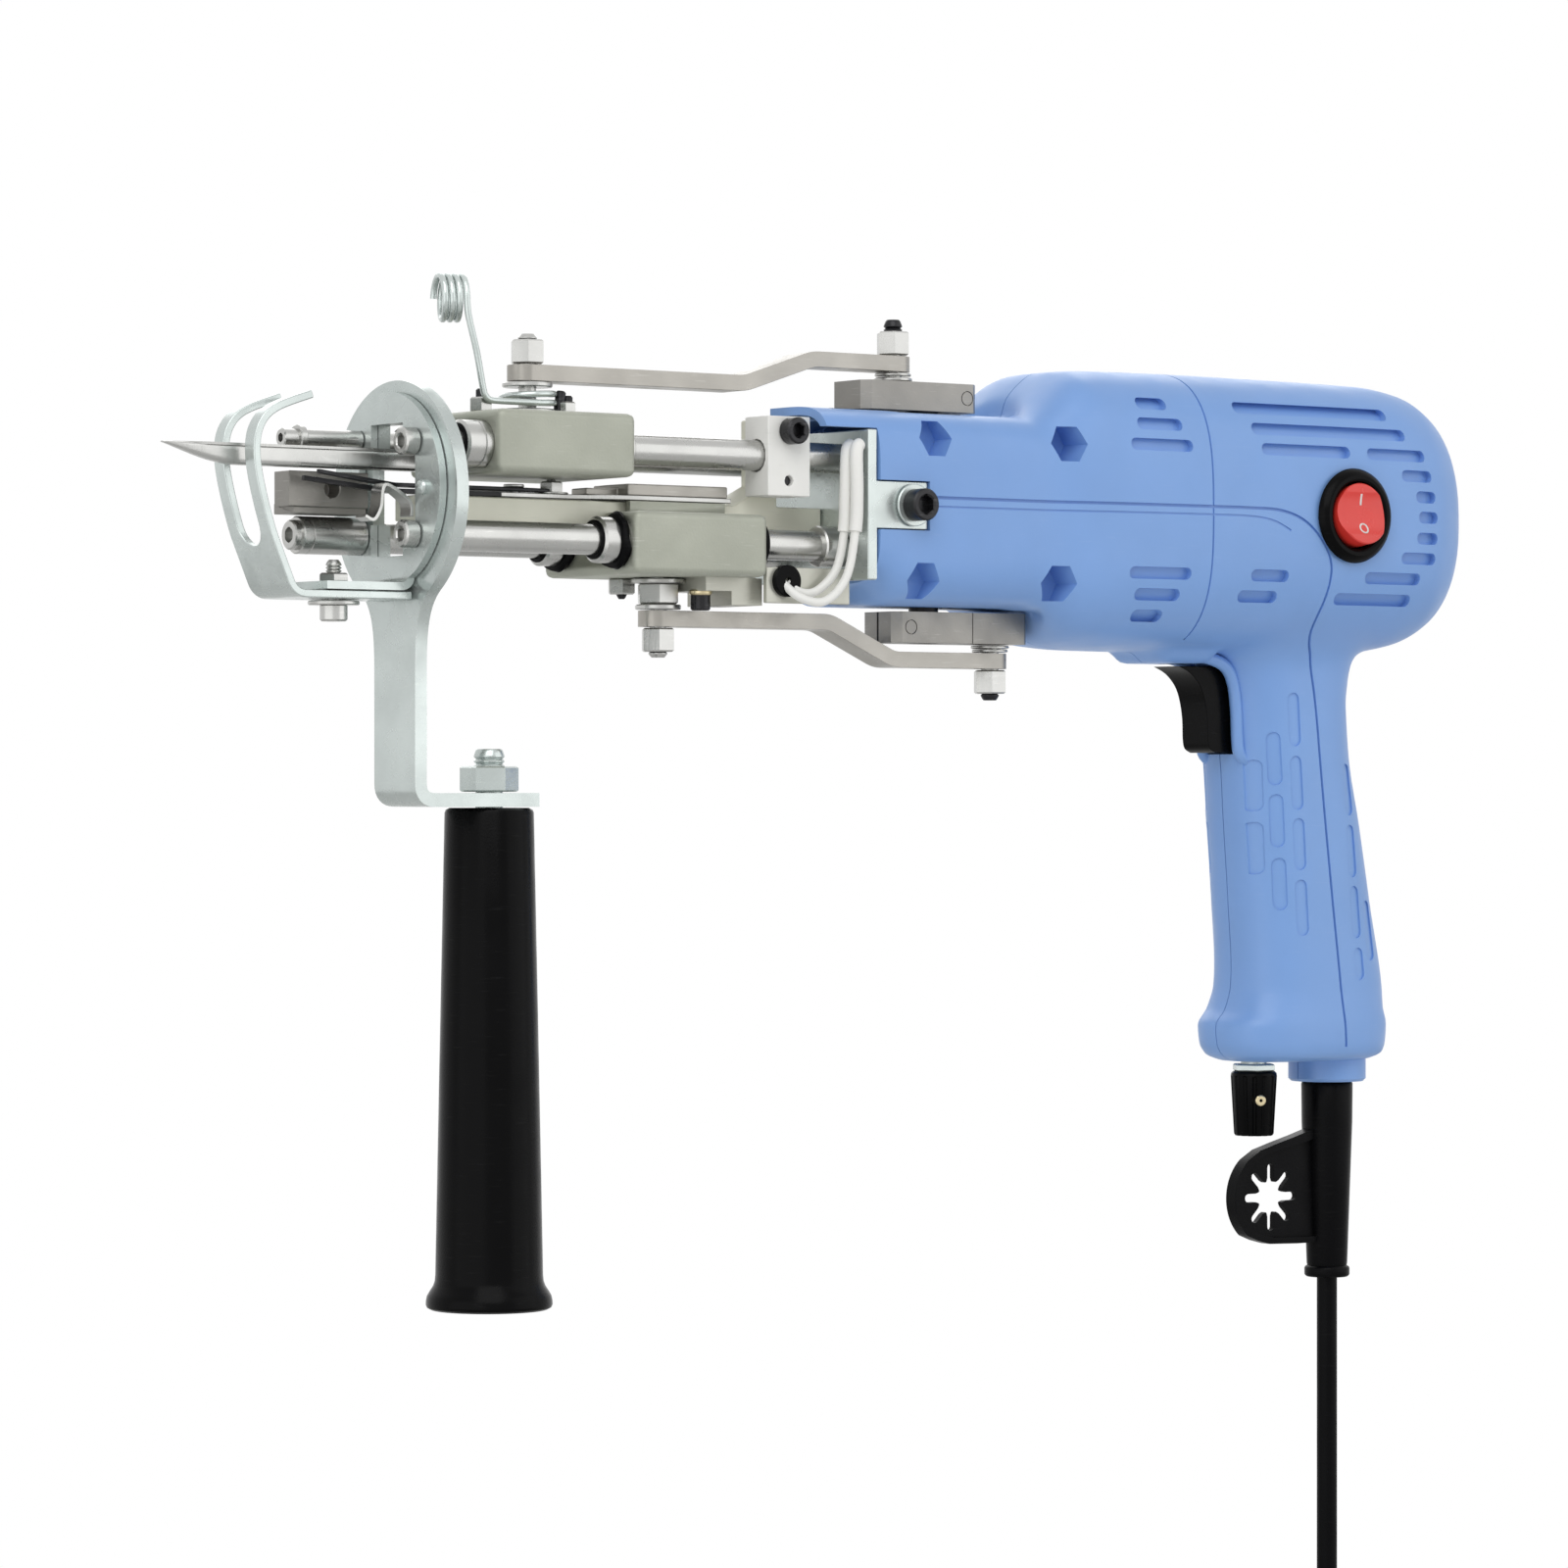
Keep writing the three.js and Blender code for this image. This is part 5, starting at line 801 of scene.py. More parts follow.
def makePosts():
    radius, bore = posts["radius"], pins["radius"]
    shank = stud(posts["from"], posts["end"], radius, posts["thread"])
    foot, top = washer(20.7, 1.2, 7.2, radius), hexNut(33.5, 6.2, 4, radius)
    ringPiece("upper_post", "steel", "upper_slide", stack(
        posts["upper"], up, shank, foot, washer(27.5, 1.2, 6.5, radius), top), "upper_pivot_post")
    ringPiece("lower_post", "steel", "lower_slide", stack(
        posts["lower"], down, shank, foot, hexNut(21.9, 5.4, 5, radius), washer(27.4, 1.3, 6, radius), top),
              "lower_pivot_post")
    for level, axis, low, nut, thick, second, dark in (("upper", up, 33.8, 40.8, 1, 1.4, (46.6, 50.4)),
                                                       ("lower", down, 36.6, 43.2, 0.8, 1, (49, 51.4))):
        ringPiece(f"{level}_pin", "steel", f"{level}_link", stack(
            pins[level], axis, stud(low, nut + 6.2, bore), washer(low, thick, 5.2, bore),
            washer(low + second, 0.8, 4.9, bore), hexNut(nut, 6.4, 4, bore)), f"{level}_crank_pin")
        ringPiece(f"{level}_pin_end", "black_steel", f"{level}_link", stack(
            pins[level], axis, stud(*dark, 2.5, dark[0] + 0.6)))


grip = {"x": 28.5, "top": -80.2, "boltFrom": -139.9, "nutFrom": -76.1, "bore": [(60, 0), (60, 4.3), (0, 4.3)], "rows": [
    (0, 10.2), (0.5, 11.1), (1.2, 11.4), (60, 12.6), (119, 13.75), (120.6, 13.9), (121.8, 14.3), (123.2, 15.2),
    (124.4, 15.9), (125.6, 16.15), (126.6, 16.2), (127.3, 15.9), (127.8, 15), (127.8, 0)]}


def makeGrip():
    ringPiece("grip_handle", "black_plastic", "root", [
        ((grip["x"], 0, grip["top"]), down, grip["bore"] + grip["rows"])], "front_grip", steps=72)
    ringPiece("grip_bolt", "zinc", "root", [
        ((grip["x"], 0, grip["boltFrom"]), up, stud(0, 74.7, 3.95, 66, 1.25)),
        ((grip["x"], 0, grip["nutFrom"]), up, hexNut(0, 6.5, 6.5, 4, 0))], "grip_stud")


tab = {"x": 144.5, "z": -0.7, "head": 32.5, "face": 27.5}
clampX = 109.8
slotBolt = {"x": -18, "head": -33.4, "washer": -29.4, "thread": -24, "nut": -23.6}
farPosts = {"x": -2.6, "y": 13, "upper": (13, [
    (0, 0), (0, 2.5), (16.6, 2.5), (16.6, 3.1), (16.9, 3.4), (18.4, 3.4), (18.7, 3.1), (18.7, 2.4), (22.7, 2.4),
    (23, 2.1), (23, 1.2, 1.1), (20.5, 1.2, 1.1), (20.5, 0)]), "lower": (-11.4, [
        (0, 0), (0, 4.8), (15.6, 4.8), (15.8, 4.5), (16.2, 4.5), (16.4, 4.8), (18.4, 4.8), (18.7, 4.5), (18.7, 3.8),
        (20.3, 3.8), (20.6, 3.4), (20.6, 2, 1.9), (18.5, 2, 1.9), (18.5, 0)])}


def makeScrews():
    for level, way in levels.items():
        ringPiece(f"front_screw_{level}", "steel", "root", [
            (onRod(-6.6, -1, way), back, socketScrew(3.5, 4, 2, 7.5, 1.7))], f"plate_screw_{level}")
        z, rows = farPosts[level]
        ringPiece(f"post_far_{level}", "steel", "root", [((farPosts["x"], farPosts["y"], z), forward, rows)],
                  f"far_post_{level}")
    for side, way in sides.items():
        inward = (0, -way, 0)
        ringPiece(f"tab_screw_{side}", "black_steel", "root", [
            ((tab["x"], tab["head"] * way, tab["z"]), inward, socketScrew(4.25, 5, 2.5, 9.4, 2.3, 3))],
                  f"side_screw_{side}")
        ringPiece(f"tab_washer_{side}", "zinc", "root", [
            ((tab["x"], tab["face"] * way, tab["z"]), inward, washer(0.05, 0.9, 5.6, 2.6))])
    ringPiece("clamp_screw", "black_steel", "root", [
        ((clampX, -23.1, 17.9), away, socketScrew(3.5, 4.2, 1.4, 9.4, 1.75, 2.6))], "rod_clamp_screw")
    ringPiece("slot_bolt", "steel", "root", [((slotBolt["x"], 0, slotBolt[name]), up, rows) for name, rows in (
        ("head", socketScrew(3.5, 4, 1.95, 5.5, 1.5)), ("washer", washer(0.05, 1.1, 6.5, 2)),
        ("thread", stud(0, 6, 2, 2, 0.8)), ("nut", hexNut(0, 2.3, 3.5, 2)))], "foot_bolt")
    ringPiece("crank_shaft", "black_steel", "crank", [((well["x"], 0, -35.7), up, stud(0, 68.6, 4))], "crankshaft")


# Strain relief with the hook plate moulded on, and a star-shaped hole in the plate
boot = {"top": -150, "half": 2, "bore": 4.4, "edge": 0.7, "sharp": 35, "rows": [
    (0, 3.2), (0, 5.6), (8.4, 5.6), (8.7, 7), (9.2, 7.3), (20, 7.2), (60.2, 5.75), (60.8, 5.6), (61.2, 6.2),
    (61.6, 6.4), (63.3, 6.4), (63.7, 6.2), (64, 5.8), (64, 3.2), (0, 3.2)]}
hook = {"x": 291.1, "z": -190.6, "round": 14.1, "hub": 4.9, "reach": 9.5, "rays": 8, "rayHalf": 1.2, "flare": 0.35,
        "web": 0.9, "rim": 0.87, "middle": (299.5, -190.2),
        "above": [(313, -171), (307, -171.6), (300, -173.6), (293, -175.4), (286.6, -177.2)],
        "below": [(285.6, -202.6), (290, -203.7), (300, -204), (313, -204)]}


def starOutline():
    half, outline = hook["rayHalf"], []
    root, tip = sqrt(hook["hub"] ** 2 - half ** 2), hook["reach"] - half
    rise = [(root - 0.4, half + hook["flare"]), (root + 0.7, half)]
    ray = [(a, -b) for a, b in rise] + arc(tip, 0, half, -90, 90, 6) + rise[::-1]
    for c, s in ((cos(turn), sin(turn)) for turn in around(hook["rays"])):
        outline += [(hook["x"] + a * c - b * s, hook["z"] + a * s + b * c) for a, b in ray]
    return outline


def makeBoot():
    ringPiece("strain_relief", "cord_rubber", "root", [((cord["x"], 0, boot["top"]), down, boot["rows"])], "cord_boot",
              steps=64, smooth=boot["sharp"])
    edge = hook["above"] + arc(hook["x"], hook["z"], hook["round"], 130, 228, 24) + hook["below"]
    plate = makeMesh("hook_plate", [prism(edge, -boot["half"], boot["half"], "xz")])
    x0, z0 = hook["middle"]
    inside = [(x0 + (x - x0) * hook["rim"] if x < x0 else x + 2, z0 + (z - z0) * hook["rim"]) for x, z in edge]
    combine(plate, [prism(inside, *ends, "xz") for ends in ((-5, -hook["web"]), (hook["web"], 5))])
    combine(plate, [prism(starOutline(), -5, 5, "xz")])
    combine(plate, [pin((cord["x"], 0, -165), down, boot["bore"], 50)])
    smoothMesh(plate.data, boot["sharp"])
    bake(soften(plate, boot["edge"], 3, 40))
    finishPiece(plate, "cord_rubber", "root")


knob = {"x": 285.6, "top": -154.9, "reach": 6.5, "flutes": 14, "deep": 0.45, "smoothTo": 1.2, "steps": 112,
        "rows": ((0, 0.9), (0.5, 0.98), (1.2, 1), (1.5, 1), (17.5, 0.86), (18.1, 0.8)),
        "screwAxis": (-0.389, -0.921, 0)}


def makeKnob():
    x, top, turns, rings = knob["x"], knob["top"], around(knob["steps"]), []
    for along, share in knob["rows"]:
        waves = [max(0, cos(turn * knob["flutes"])) ** 0.5 * (along > knob["smoothTo"]) for turn in turns]
        reaches = [knob["reach"] * share - knob["deep"] * wave for wave in waves]
        rings.append([(x + reach * cos(turn), reach * sin(turn), top - along)
                      for turn, reach in zip(turns, reaches)])
    addPiece("control_knob", "black_plastic", "speed_knob", [skinned(rings), pin((x, 0, top - 1), up, 2.4, 6)],
             "speed_knob")
    ringPiece("knob_screw", "plug_pins", "speed_knob", [((x - 2.4, -5.65, top - 8), knob["screwAxis"], [
        (-0.9, 0), (-0.9, 1.5), (0.25, 1.5), (0.5, 1.2), (0.5, 0.5, 0.45), (-0.2, 0.5, 0.45), (-0.2, 0)])], steps=24)
    ringPiece("control_nut", "zinc", "root", [
        ((x, 0, top), up, hexNut(0, 2.1, 5.4, 2.8)), ((x, 0, top + 0.1), up, washer(0, 14.6, 3.6, 2.8)),
        ((x, 0, top + 6.3), up, washer(0, 8.6, 8, 2.8))], "speed_control")


# Rocker switch: bezel, tilting rocker and its two marks
rocker = {"x": casing["switch"][0], "z": casing["switch"][1], "face": -32.3, "tilt": -9, "seat": -33.34, "tall": 3.4,
          "hollow": 13.6, "deep": 15.6, "markLow": 13.45, "markHigh": 14, "sharp": 30,
          "rows": [(0, 0), (0, 8.3), (0.3, 8.6), (6.5, 8.6), (6.8, 8.3), (6.8, 0)],
          "bezel": [(-9.9, 0), (-9.9, 9.6), (0, 9.6), (0, 13), (0.4, 13.2), (1.2, 12.9), (2.2, 12), (2.6, 11.2),
                    (2.6, 10.2), (2.3, 9.6), (1.4, 9.3), (-4, 9.3), (-4, 0)],
          "ring": [(0, 1.1), (0, 1.55), (6, 1.55), (6, 1.1), (0, 1.1)]}


def makeRocker():
    def bar(radius):
        return [pin((-10, -rocker["deep"], 0), back, radius, 20, 160)]
    ringPiece("switch_bezel", "black_plastic", "root", [
        ((rocker["x"], rocker["face"], rocker["z"]), nearby, rocker["bezel"])], "switch_body", steps=72)
    button = makeMesh("rocker_button", [turned((0, -rocker["tall"], 0), away, rocker["rows"], 72)])
    line = makeMesh("rocker_marks", [cuboid((-0.28, 0.28), (-6, 0), (2.5, 5.5))])
    ring = makeMesh("rocker_ring_mark", [turned((0, -6, -4.1), away, rocker["ring"], 40)])
    combine(button, bar(rocker["hollow"]))
    smoothMesh(button.data, rocker["sharp"])
    turn = Matrix.Rotation(radians(rocker["tilt"]), 4, "X")
    seat = place((rocker["x"], rocker["seat"], rocker["z"]))
    for part in (line, ring):
        combine(part, bar(rocker["markLow"]))
        combine(part, bar(rocker["markHigh"]), "INTERSECT")
    for part, paintName, stands in ((button, "red_plastic", ["rocker"]), (line, "rocker_mark", []),
                                    (ring, "rocker_mark", [])):
        part.data.transform(Matrix.Translation(seat) @ turn @ Matrix.Translation(-place((0, 0, 0))))
        finishPiece(part, paintName, "rocker", *stands)


for maker in (makeRods, makePosts, makeGrip, makeScrews, makeBoot, makeKnob, makeRocker):
    maker()
print("round pieces are in")


# Flat and bent pieces
def build(name, paintName, body, parts, *stands, holes=(), edge=0.3, segments=2, within=None, sharp=30):
    made = makeMesh(name, parts[:1])
    for part in parts[1:]:
        combine(made, [part], "UNION")
    if within:
        combine(made, [within], "INTERSECT")
    for hole in holes:
        combine(made, [hole])
    smoothMesh(made.data, sharp)
    bake(soften(made, edge, segments, sharp))
    return finishPiece(made, paintName, body, *stands)


disc = {"front": -1.3, "thick": 2, "radius": 24.6, "flange": (-26, -24.6, 10), "open": 66, "bend": 3.2}
strap = {"radius": 29, "drop": 1.4, "thick": 3.5, "half": 9.6, "foot": -79.9, "long": 37.5, "bend": 4.25, "neck": -46,
         "open": 54, "steps": 20}
window = {"wide": 13.2, "inner": 0.78, "narrow": 7.5, "heights": (16.6, 9.4, -8.6, -16.8)}
foot = {"half": 9.8, "thick": 2, "level": -26.9, "rear": -1, "slotHalf": 5.2, "slotLow": -9.8, "bend": (-34.9, 3.4),
        "bolt": ((-20.3, 0), (-9.7, 0), 2.3),
        "line": [(-34.5, -25.9), (-40.5, -14), (-44.8, 0), (-46, 9), (-44.5, 15), (-40, 19), (-30, 22.6)]}
rivet = [(-1, 0), (-1, 1.9), (0.9, 1.9), (1.5, 1.6), (1.9, 0.9), (2, 0)]


def crossHole(wide):
    narrow, (top, high, low, bottom) = window["narrow"], window["heights"]
    side = [(narrow, top), (narrow, high), (wide, high), (wide, low), (narrow, low), (narrow, bottom)]
    return prism(side + [(-y, z) for y, z in side[::-1]], -9, 9, "yz")


def bezier(a, b, c, d, steps):
    return [tuple(a * (1 - t) ** 3 + b * 3 * t * (1 - t) ** 2 + c * 3 * t * t * (1 - t) + d * t ** 3)
            for t in (s / steps for s in range(1, steps + 1))]


def makeFront():
    bolts = [pin(onRod(-20, y, z), back, 2.3, 40) for y in (-1, 1) for z in (-1, 1)]
    end, level, half = disc["flange"]
    face = arc(0, 0, disc["radius"], -disc["open"], 180 + disc["open"], 96) + [(-half, -30), (half, -30)]
    bent = strip(rounded([(disc["front"], 40), (disc["front"], level), (end, level)], disc["bend"]), disc["thick"])
    build("front_disc", "zinc", "root", [prism(bent, -40, 40, "xz")], "front_plate", edge=0.45, segments=3,
          holes=[crossHole(window["wide"]), pin((slotBolt["x"], 0, -40), up, 2.2, 20)] + bolts,
          within=prism(face, -60, 60, "yz"))
    ringPiece("front_rivet", "zinc", "root", [((-2.3, -17.4, 0), forward, rivet)])
    face = arc(0, -strap["drop"], strap["radius"], -strap["open"], 180 + strap["open"], 108)
    half, mid, low = strap["half"], strap["thick"] / 2, strap["foot"]
    necks = [bezier(Vector(rim), Vector(rim) + Vector((-6 * way, -4)), Vector((half * way, strap["neck"] + 12)),
                    Vector((half * way, strap["neck"])), strap["steps"]) for way, rim in ((-1, face[-1]), (1, face[0]))]
    outline = face + necks[0] + [(-half, -90), (half, -90)] + necks[1][::-1]
    bent = strip(rounded([(mid, 40), (mid, low + mid), (strap["long"], low + mid)], strap["bend"]), strap["thick"])
    build("bracket_plate", "zinc", "root", [prism(bent, -40, 40, "xz")], "handle_bracket", edge=0.7, segments=3,
          holes=[crossHole(window["wide"] * window["inner"]), pin((grip["x"], 0, -90), up, 4.3, 20)] + bolts,
          within=prism(outline, -60, 60, "yz"))
    bendX, bend = foot["bend"]
    sheet = strip(rounded([(foot["rear"], foot["level"]), (bendX, foot["level"]), foot["line"][1]], bend)[:-1]
                  + curve(foot["line"], 8)[9:], foot["thick"])
    half = foot["slotHalf"]
    slot = arc(0, foot["slotLow"], half, 180, 360, 24) + [(half, 60), (-half, 60)]
    build("foot_fork", "zinc", "presser_foot", [prism(sheet, -foot["half"], foot["half"], "xz")], "presser_foot",
          holes=[prism(slot, -90, -30, "yz"), prism(stadium(*foot["bolt"]), -40, -20, "xy")], edge=0.6, segments=3)


# Needle: straight upper edge, oval body, underside sweeping up to the tip
quill = {"tip": -67.4, "rear": 60, "top": 10.1, "tall": 5.3, "half": 2.3, "sweep": 22, "rim": 0.55, "rimRear": 13,
         "steps": 20, "around": 40, "square": 0.55}


def makeNeedle():
    tip, top, wide, rings = quill["tip"], quill["top"], quill["half"], []
    for x in [tip + quill["sweep"] * (i / quill["steps"]) ** 1.5 for i in range(quill["steps"] + 1)] + [quill["rear"]]:
        share = min(1, (x - tip) / quill["sweep"])
        tall = quill["tall"] * (0.06 + 0.94 * sin(share * pi / 2) ** 1.15)
        half = wide * (0.25 + 0.75 * min(1, share * 1.8) ** 0.6)
        spots = [[copysign(abs(f(turn)) ** quill["square"], f(turn)) for f in (cos, sin)]
                 for turn in around(quill["around"])]
        rings.append([(x, half * y, top - tall / 2 + tall / 2 * z) for y, z in spots])
    rim = [(tip + 3, 0), (tip + 12, -wide), (quill["rimRear"], -wide), (quill["rimRear"], wide), (tip + 12, wide)]
    addPiece("needle_quill", "steel", "upper_slide",
             [skinned(rings), prism(rim, top - quill["rim"], top + 0.1, "xy")], "needle")


links = {"half": 4.5, "thick": 4.2, "bend": 2.2, "hole": 2.8, "front": 5.4, "edge": 0.35,
         "upper": {"level": 31.1, "rear": 38.4, "bends": (106, 128)},
         "lower": {"level": -31.1, "rear": -40.8, "bends": (133.6, 155)}}
cranks = {"half": 8, "blunt": 2.2, "slit": 0.4, "bore": 4.05,
          "ring": [(0, 1.75), (0, 2), (0.6, 2), (0.6, 1.75), (0, 1.75)],
          "upper": {"ends": (142.6, 181.3), "low": 25.8, "high": 33.5, "pin": 177, "slit": (168.2, 190.3), "lines": ()},
          "lower": {"ends": (152.8, 198.8), "low": -36.3, "high": -28, "pin": 158, "slit": (143.8, 168.2),
                    "lines": (178.7,)}}


def makeDrive():
    half, blunt = cranks["half"], cranks["blunt"]
    for level in levels:
        arm, throw = links[level], cranks[level]
        pivot, height, (bendA, bendB) = posts[level][0], arm["level"], arm["bends"]
        first, last = pivot - links["front"], pins[level][0] + links["half"]
        line = rounded([(first, height), (bendA, height), (bendB, arm["rear"]), (last, arm["rear"])], links["bend"], 5)
        build(f"arm_{level}", "brushed_steel", f"{level}_link",
              [prism(strip(line, links["thick"]), -links["half"], links["half"], "xz")], f"{level}_link",
              holes=[pin((pivot, 0, height - 6), up, links["hole"], 12)], edge=links["edge"],
              within=prism(stadium((first, 0), (last, 0), links["half"] + 0.02, 20), -60, 60, "xy"))
        (start, end), low, high = throw["ends"], throw["low"], throw["high"]
        plan = [(start + blunt, -half), (end - blunt, -half), (end, -half + blunt), (end, half - blunt),
                (end - blunt, half), (start + blunt, half), (start, half - blunt), (start, -half + blunt)]
        tall = (low - 1, high + 1)
        lines = [cuboid(throw["slit"], (-cranks["slit"], cranks["slit"]), tall),
                 pin((well["x"], 0, low - 1), up, cranks["bore"], 12)]
        for side in (-1, 1):
            lines.append(turned((throw["pin"], side * (half + 0.1), (low + high) / 2), (0, -side, 0), cranks["ring"]))
            lines += [cuboid((x, x + 0.3), (half * side - 0.3, half * side + 0.3), tall) for x in throw["lines"]]
        build(f"crank_{level}", "dark_steel", "crank", [prism(plan, low, high, "xy")], f"{level}_crank_block",
              holes=lines, edge=links["edge"])


blocks = {"long": 41.8, "half": 21.5, "near": 4.2, "far": 20.4, "edge": 1.9, "upper": 17.7, "lower": 59.4, "bore": 6.05,
          "past": 5, "cut": 60, "needle": (7.5, 2.9), "channel": ((-6.8, 6.8), (-8.4, 0)),
          "rail": ((66, 96), (7.3, 9), (-5, -1.1))}


def makeBlocks():
    cut, (height, radius), (railX, railY, railZ) = blocks["cut"], blocks["needle"], blocks["rail"]
    for level, way in levels.items():
        first = blocks[level]
        start = first - blocks["past"]
        made = makeMesh(f"block_{level}", [cuboid((first, first + blocks["long"]), (-blocks["half"], blocks["half"]),
                                                  sorted((blocks["near"] * way, blocks["far"] * way)))])
        bake(soften(made, blocks["edge"], 3))
        holes = [pin(onRod(start, side, way), back, blocks["bore"], cut) for side in (-1, 1)]
        holes.append(pin((start, 0, height), back, radius, cut) if level == "upper"
                     else cuboid((start, first + cut), *blocks["channel"]))
        for hole in holes:
            combine(made, [hole])
        for side in (-1, 1) if level == "lower" else ():
            combine(made, [cuboid(railX, sorted(y * side for y in railY), railZ)], "UNION")
        finishPiece(made, "cast_metal", f"{level}_slide", f"{level}_block")


wiper = {"x": 56.6, "rows": ((0, 6.1), (0.2, 6.9), (1.2, 7.3), (2.4, 6.9), (2.6, 6.1)), "steps": 60, "uneven": 0.35}
lips = {"seal": 101.3, "front": 0.5}


# A rubber ring with a wavy edge round the lower rod
def wiperRing(side, along, reach):
    ring = []
    for turn in around(wiper["steps"]):
        spread = reach + wiper["uneven"] * sin(3 * turn + along) + 0.2 * sin(7 * turn + 2)
        ring.append((wiper["x"] + along + wiper["uneven"] * sin(2 * turn + side),
                     rods["side"] * side + spread * cos(turn), -rods["height"] + spread * sin(turn)))
    return ring


# Small parts on the sliding blocks
def makeFittings():
    ringPiece("clamp_nuts", "steel", "upper_slide", [
        ((24, -3, 20.4), up, hexNut(0, 3.8, 2.7, 1.2)), ((49.8, -3, 20.4), up, hexNut(0, 3.6, 2.6, 1.2))], smooth=12)
    ringPiece("clamp_studs", "black_steel", "upper_slide", [
        ((24, -3, 19), up, stud(0, 7.4, 1.3)), ((47.6, -3, 20.4), (0.15, 0, 1), stud(0, 6.4, 1.35)),
        ((50.6, -3, 20.4), up, stud(0, 5.2, 1.3))])
    ringPiece("slide_nut", "steel", "lower_slide", [((76.4, 10, -20.4), down, hexNut(0, 4.2, 3.3, 1.5))], smooth=12)
    ringPiece("slide_stud", "black_steel", "lower_slide", [
        ((76.4, 10, -19), down, stud(0, 6.8, 1.5, 3, 0.7)), ((88.6, -8.4, -24.6), down, stud(0, 4.4, 2.6))])
    ringPiece("slide_bush", "plug_pins", "lower_slide", [((88.6, -8.4, -23.6), down, stud(0, 1.4, 3))])
    build("slide_plate", "pale_metal", "lower_slide", [
        cuboid((86.4, 102.4), (-14, 6), (-24, -20.3)), cuboid((94.6, 104.4), (-14, 6), (-27.6, -20.5))], edge=0.4)
    for name, side in sides.items():
        rings = [wiperRing(side, along, reach) for along, reach in wiper["rows"]]
        addPiece(f"wiper_{name}", "cord_rubber", "lower_slide", [skinned(rings)])
        ringPiece(f"rear_seal_{name}", "cord_rubber", "lower_slide", [
            (onRod(lips["seal"], side, -1), back, washer(0, 1.4, 7.2, 4.4))])
        for level, way in levels.items():
            spot = onRod(bush["fronts"][level] - bush["lip"] - lips["front"], side, way)
            ringPiece(f"lip_{level}_{name}", "cord_rubber", f"{level}_slide", [(spot, back, washer(0, 1.2, 5.1, 4.1))])
    ringPiece("clamp_thread", "black_steel", "root", [((clampX, -17.4, 5), away, stud(0, 4, 1.38))])
    # A thin black sheet on the nose top just ahead of the upper crank block: painted shade, standing for the dark foot
    # of the block's front face
    build("nose_shade_sheet", "black_plastic", "root", [cuboid((131, 142.4), (-8, 8), (24.4, 25.4))], edge=0.2)


knife = {"tip": -27, "rear": 98, "thick": 1.2, "low": -0.3, "lift": 2.6, "level": -3, "nut": (47.5, 0, 0.3),
         "front": [(-27, -0.7), (0, -3), (30, -3.4), (30, 3.2), (0, 1), (-27, 0.7)],
         "mount": [(30, -3.4), (50, -3.6), (66, -9), (98, -9), (98, 9), (66, 9), (50, 3.6), (36, 3.6), (30, 3.2)]}


def makeBlades():
    side = prism(strip([(knife["tip"], knife["low"] + knife["lift"]), (knife["level"], knife["low"]),
                        (knife["rear"], knife["low"])], knife["thick"]), -12, 12, "xz")
    build("blade_fixed", "black_steel", "lower_slide", [side], "fixed_blade", edge=0.12,
          within=prism(knife["front"], -20, 20, "xy"))
    build("blade_mount", "steel", "lower_slide", [side], edge=0.2, within=prism(knife["mount"], -20, 20, "xy"))
    ringPiece("blade_nut", "steel", "lower_slide", [
        ((36, 0, -0.3), up, stud(0, 2.7, 1.5)), ((36, 0, 1.75), up, washer(0, 0.8, 2.7, 1.5))]
              + stack(knife["nut"], up, hexNut(0, 3.3, 2.8, 1.4), stud(0, 3.8, 1.4), washer(0, 0.5, 4.4, 1.4)),
              smooth=12)
    build("blade_clamp", "brushed_steel", "lower_slide", [
        cuboid((56, 66), (-3.4, 3.4), (0.3, 2.2)), cuboid((66, 97.6), (-8, 8), (0.3, 3.4))], edge=0.4)


leafLine = [(-3.05, -7.2), (-3.6, -3.4), (-9.6, 0.4), (-11.4, -0.6), (-12, -5), (-14, -8.2), (-16.6, -7.4)]
coil = {"middle": (19.4, -1.6, 49.4), "radius": 5.6, "turns": 3.5, "pitch": 1.85, "turned": 21.7, "wire": 0.85,
        "steps": 36, "wrap": 6.8, "wraps": 1.25, "rise": 2.3, "level": 23.2,
        "foot": [(22.2, -6.8, 26.2), (22.9, -6.8, 24.4), (24.2, -6.8, 23.4), (27.6, -6.8, 23.2)]}


# Yarn guide: a coil, its leg down, and a wrap round the pivot post
def makeWire():
    swing, steps = radians(coil["turned"]), coil["steps"]
    axis, line = Vector((cos(swing), -sin(swing), 0)), []
    side = axis.cross(axisZ)
    for i in range(int(coil["turns"] * steps) + 1):
        turn = pi - 2 * pi * i / steps
        line.append(Vector(coil["middle"]) + axis * coil["pitch"] * (i / steps - coil["turns"])
                    + (side * cos(turn) + axisZ * sin(turn)) * coil["radius"])
    top = line[-1]
    leg = [top + Vector((0.5, 0, -5)), top.lerp(Vector(coil["foot"][0]), 0.6)]
    line += curve([tuple(p) for p in [top, *leg, *coil["foot"]]], 6)[1:]
    for i in range(int(coil["wraps"] * steps) + 1):
        turn = -pi / 2 + 2 * pi * i / steps
        line.append(Vector((posts["upper"][0] + coil["wrap"] * cos(turn), coil["wrap"] * sin(turn),
                            coil["level"] + coil["rise"] * i / steps)))
    addPiece("yarn_wire", "zinc", "upper_slide", [swept(line, coil["wire"], 12)], "yarn_guide", smooth=50)
    build("leaf_spring", "steel", "root", [prism(strip(curve(leafLine, 6), 0.9), -13, -8, "xz")], "leaf_strip",
          edge=0.15)


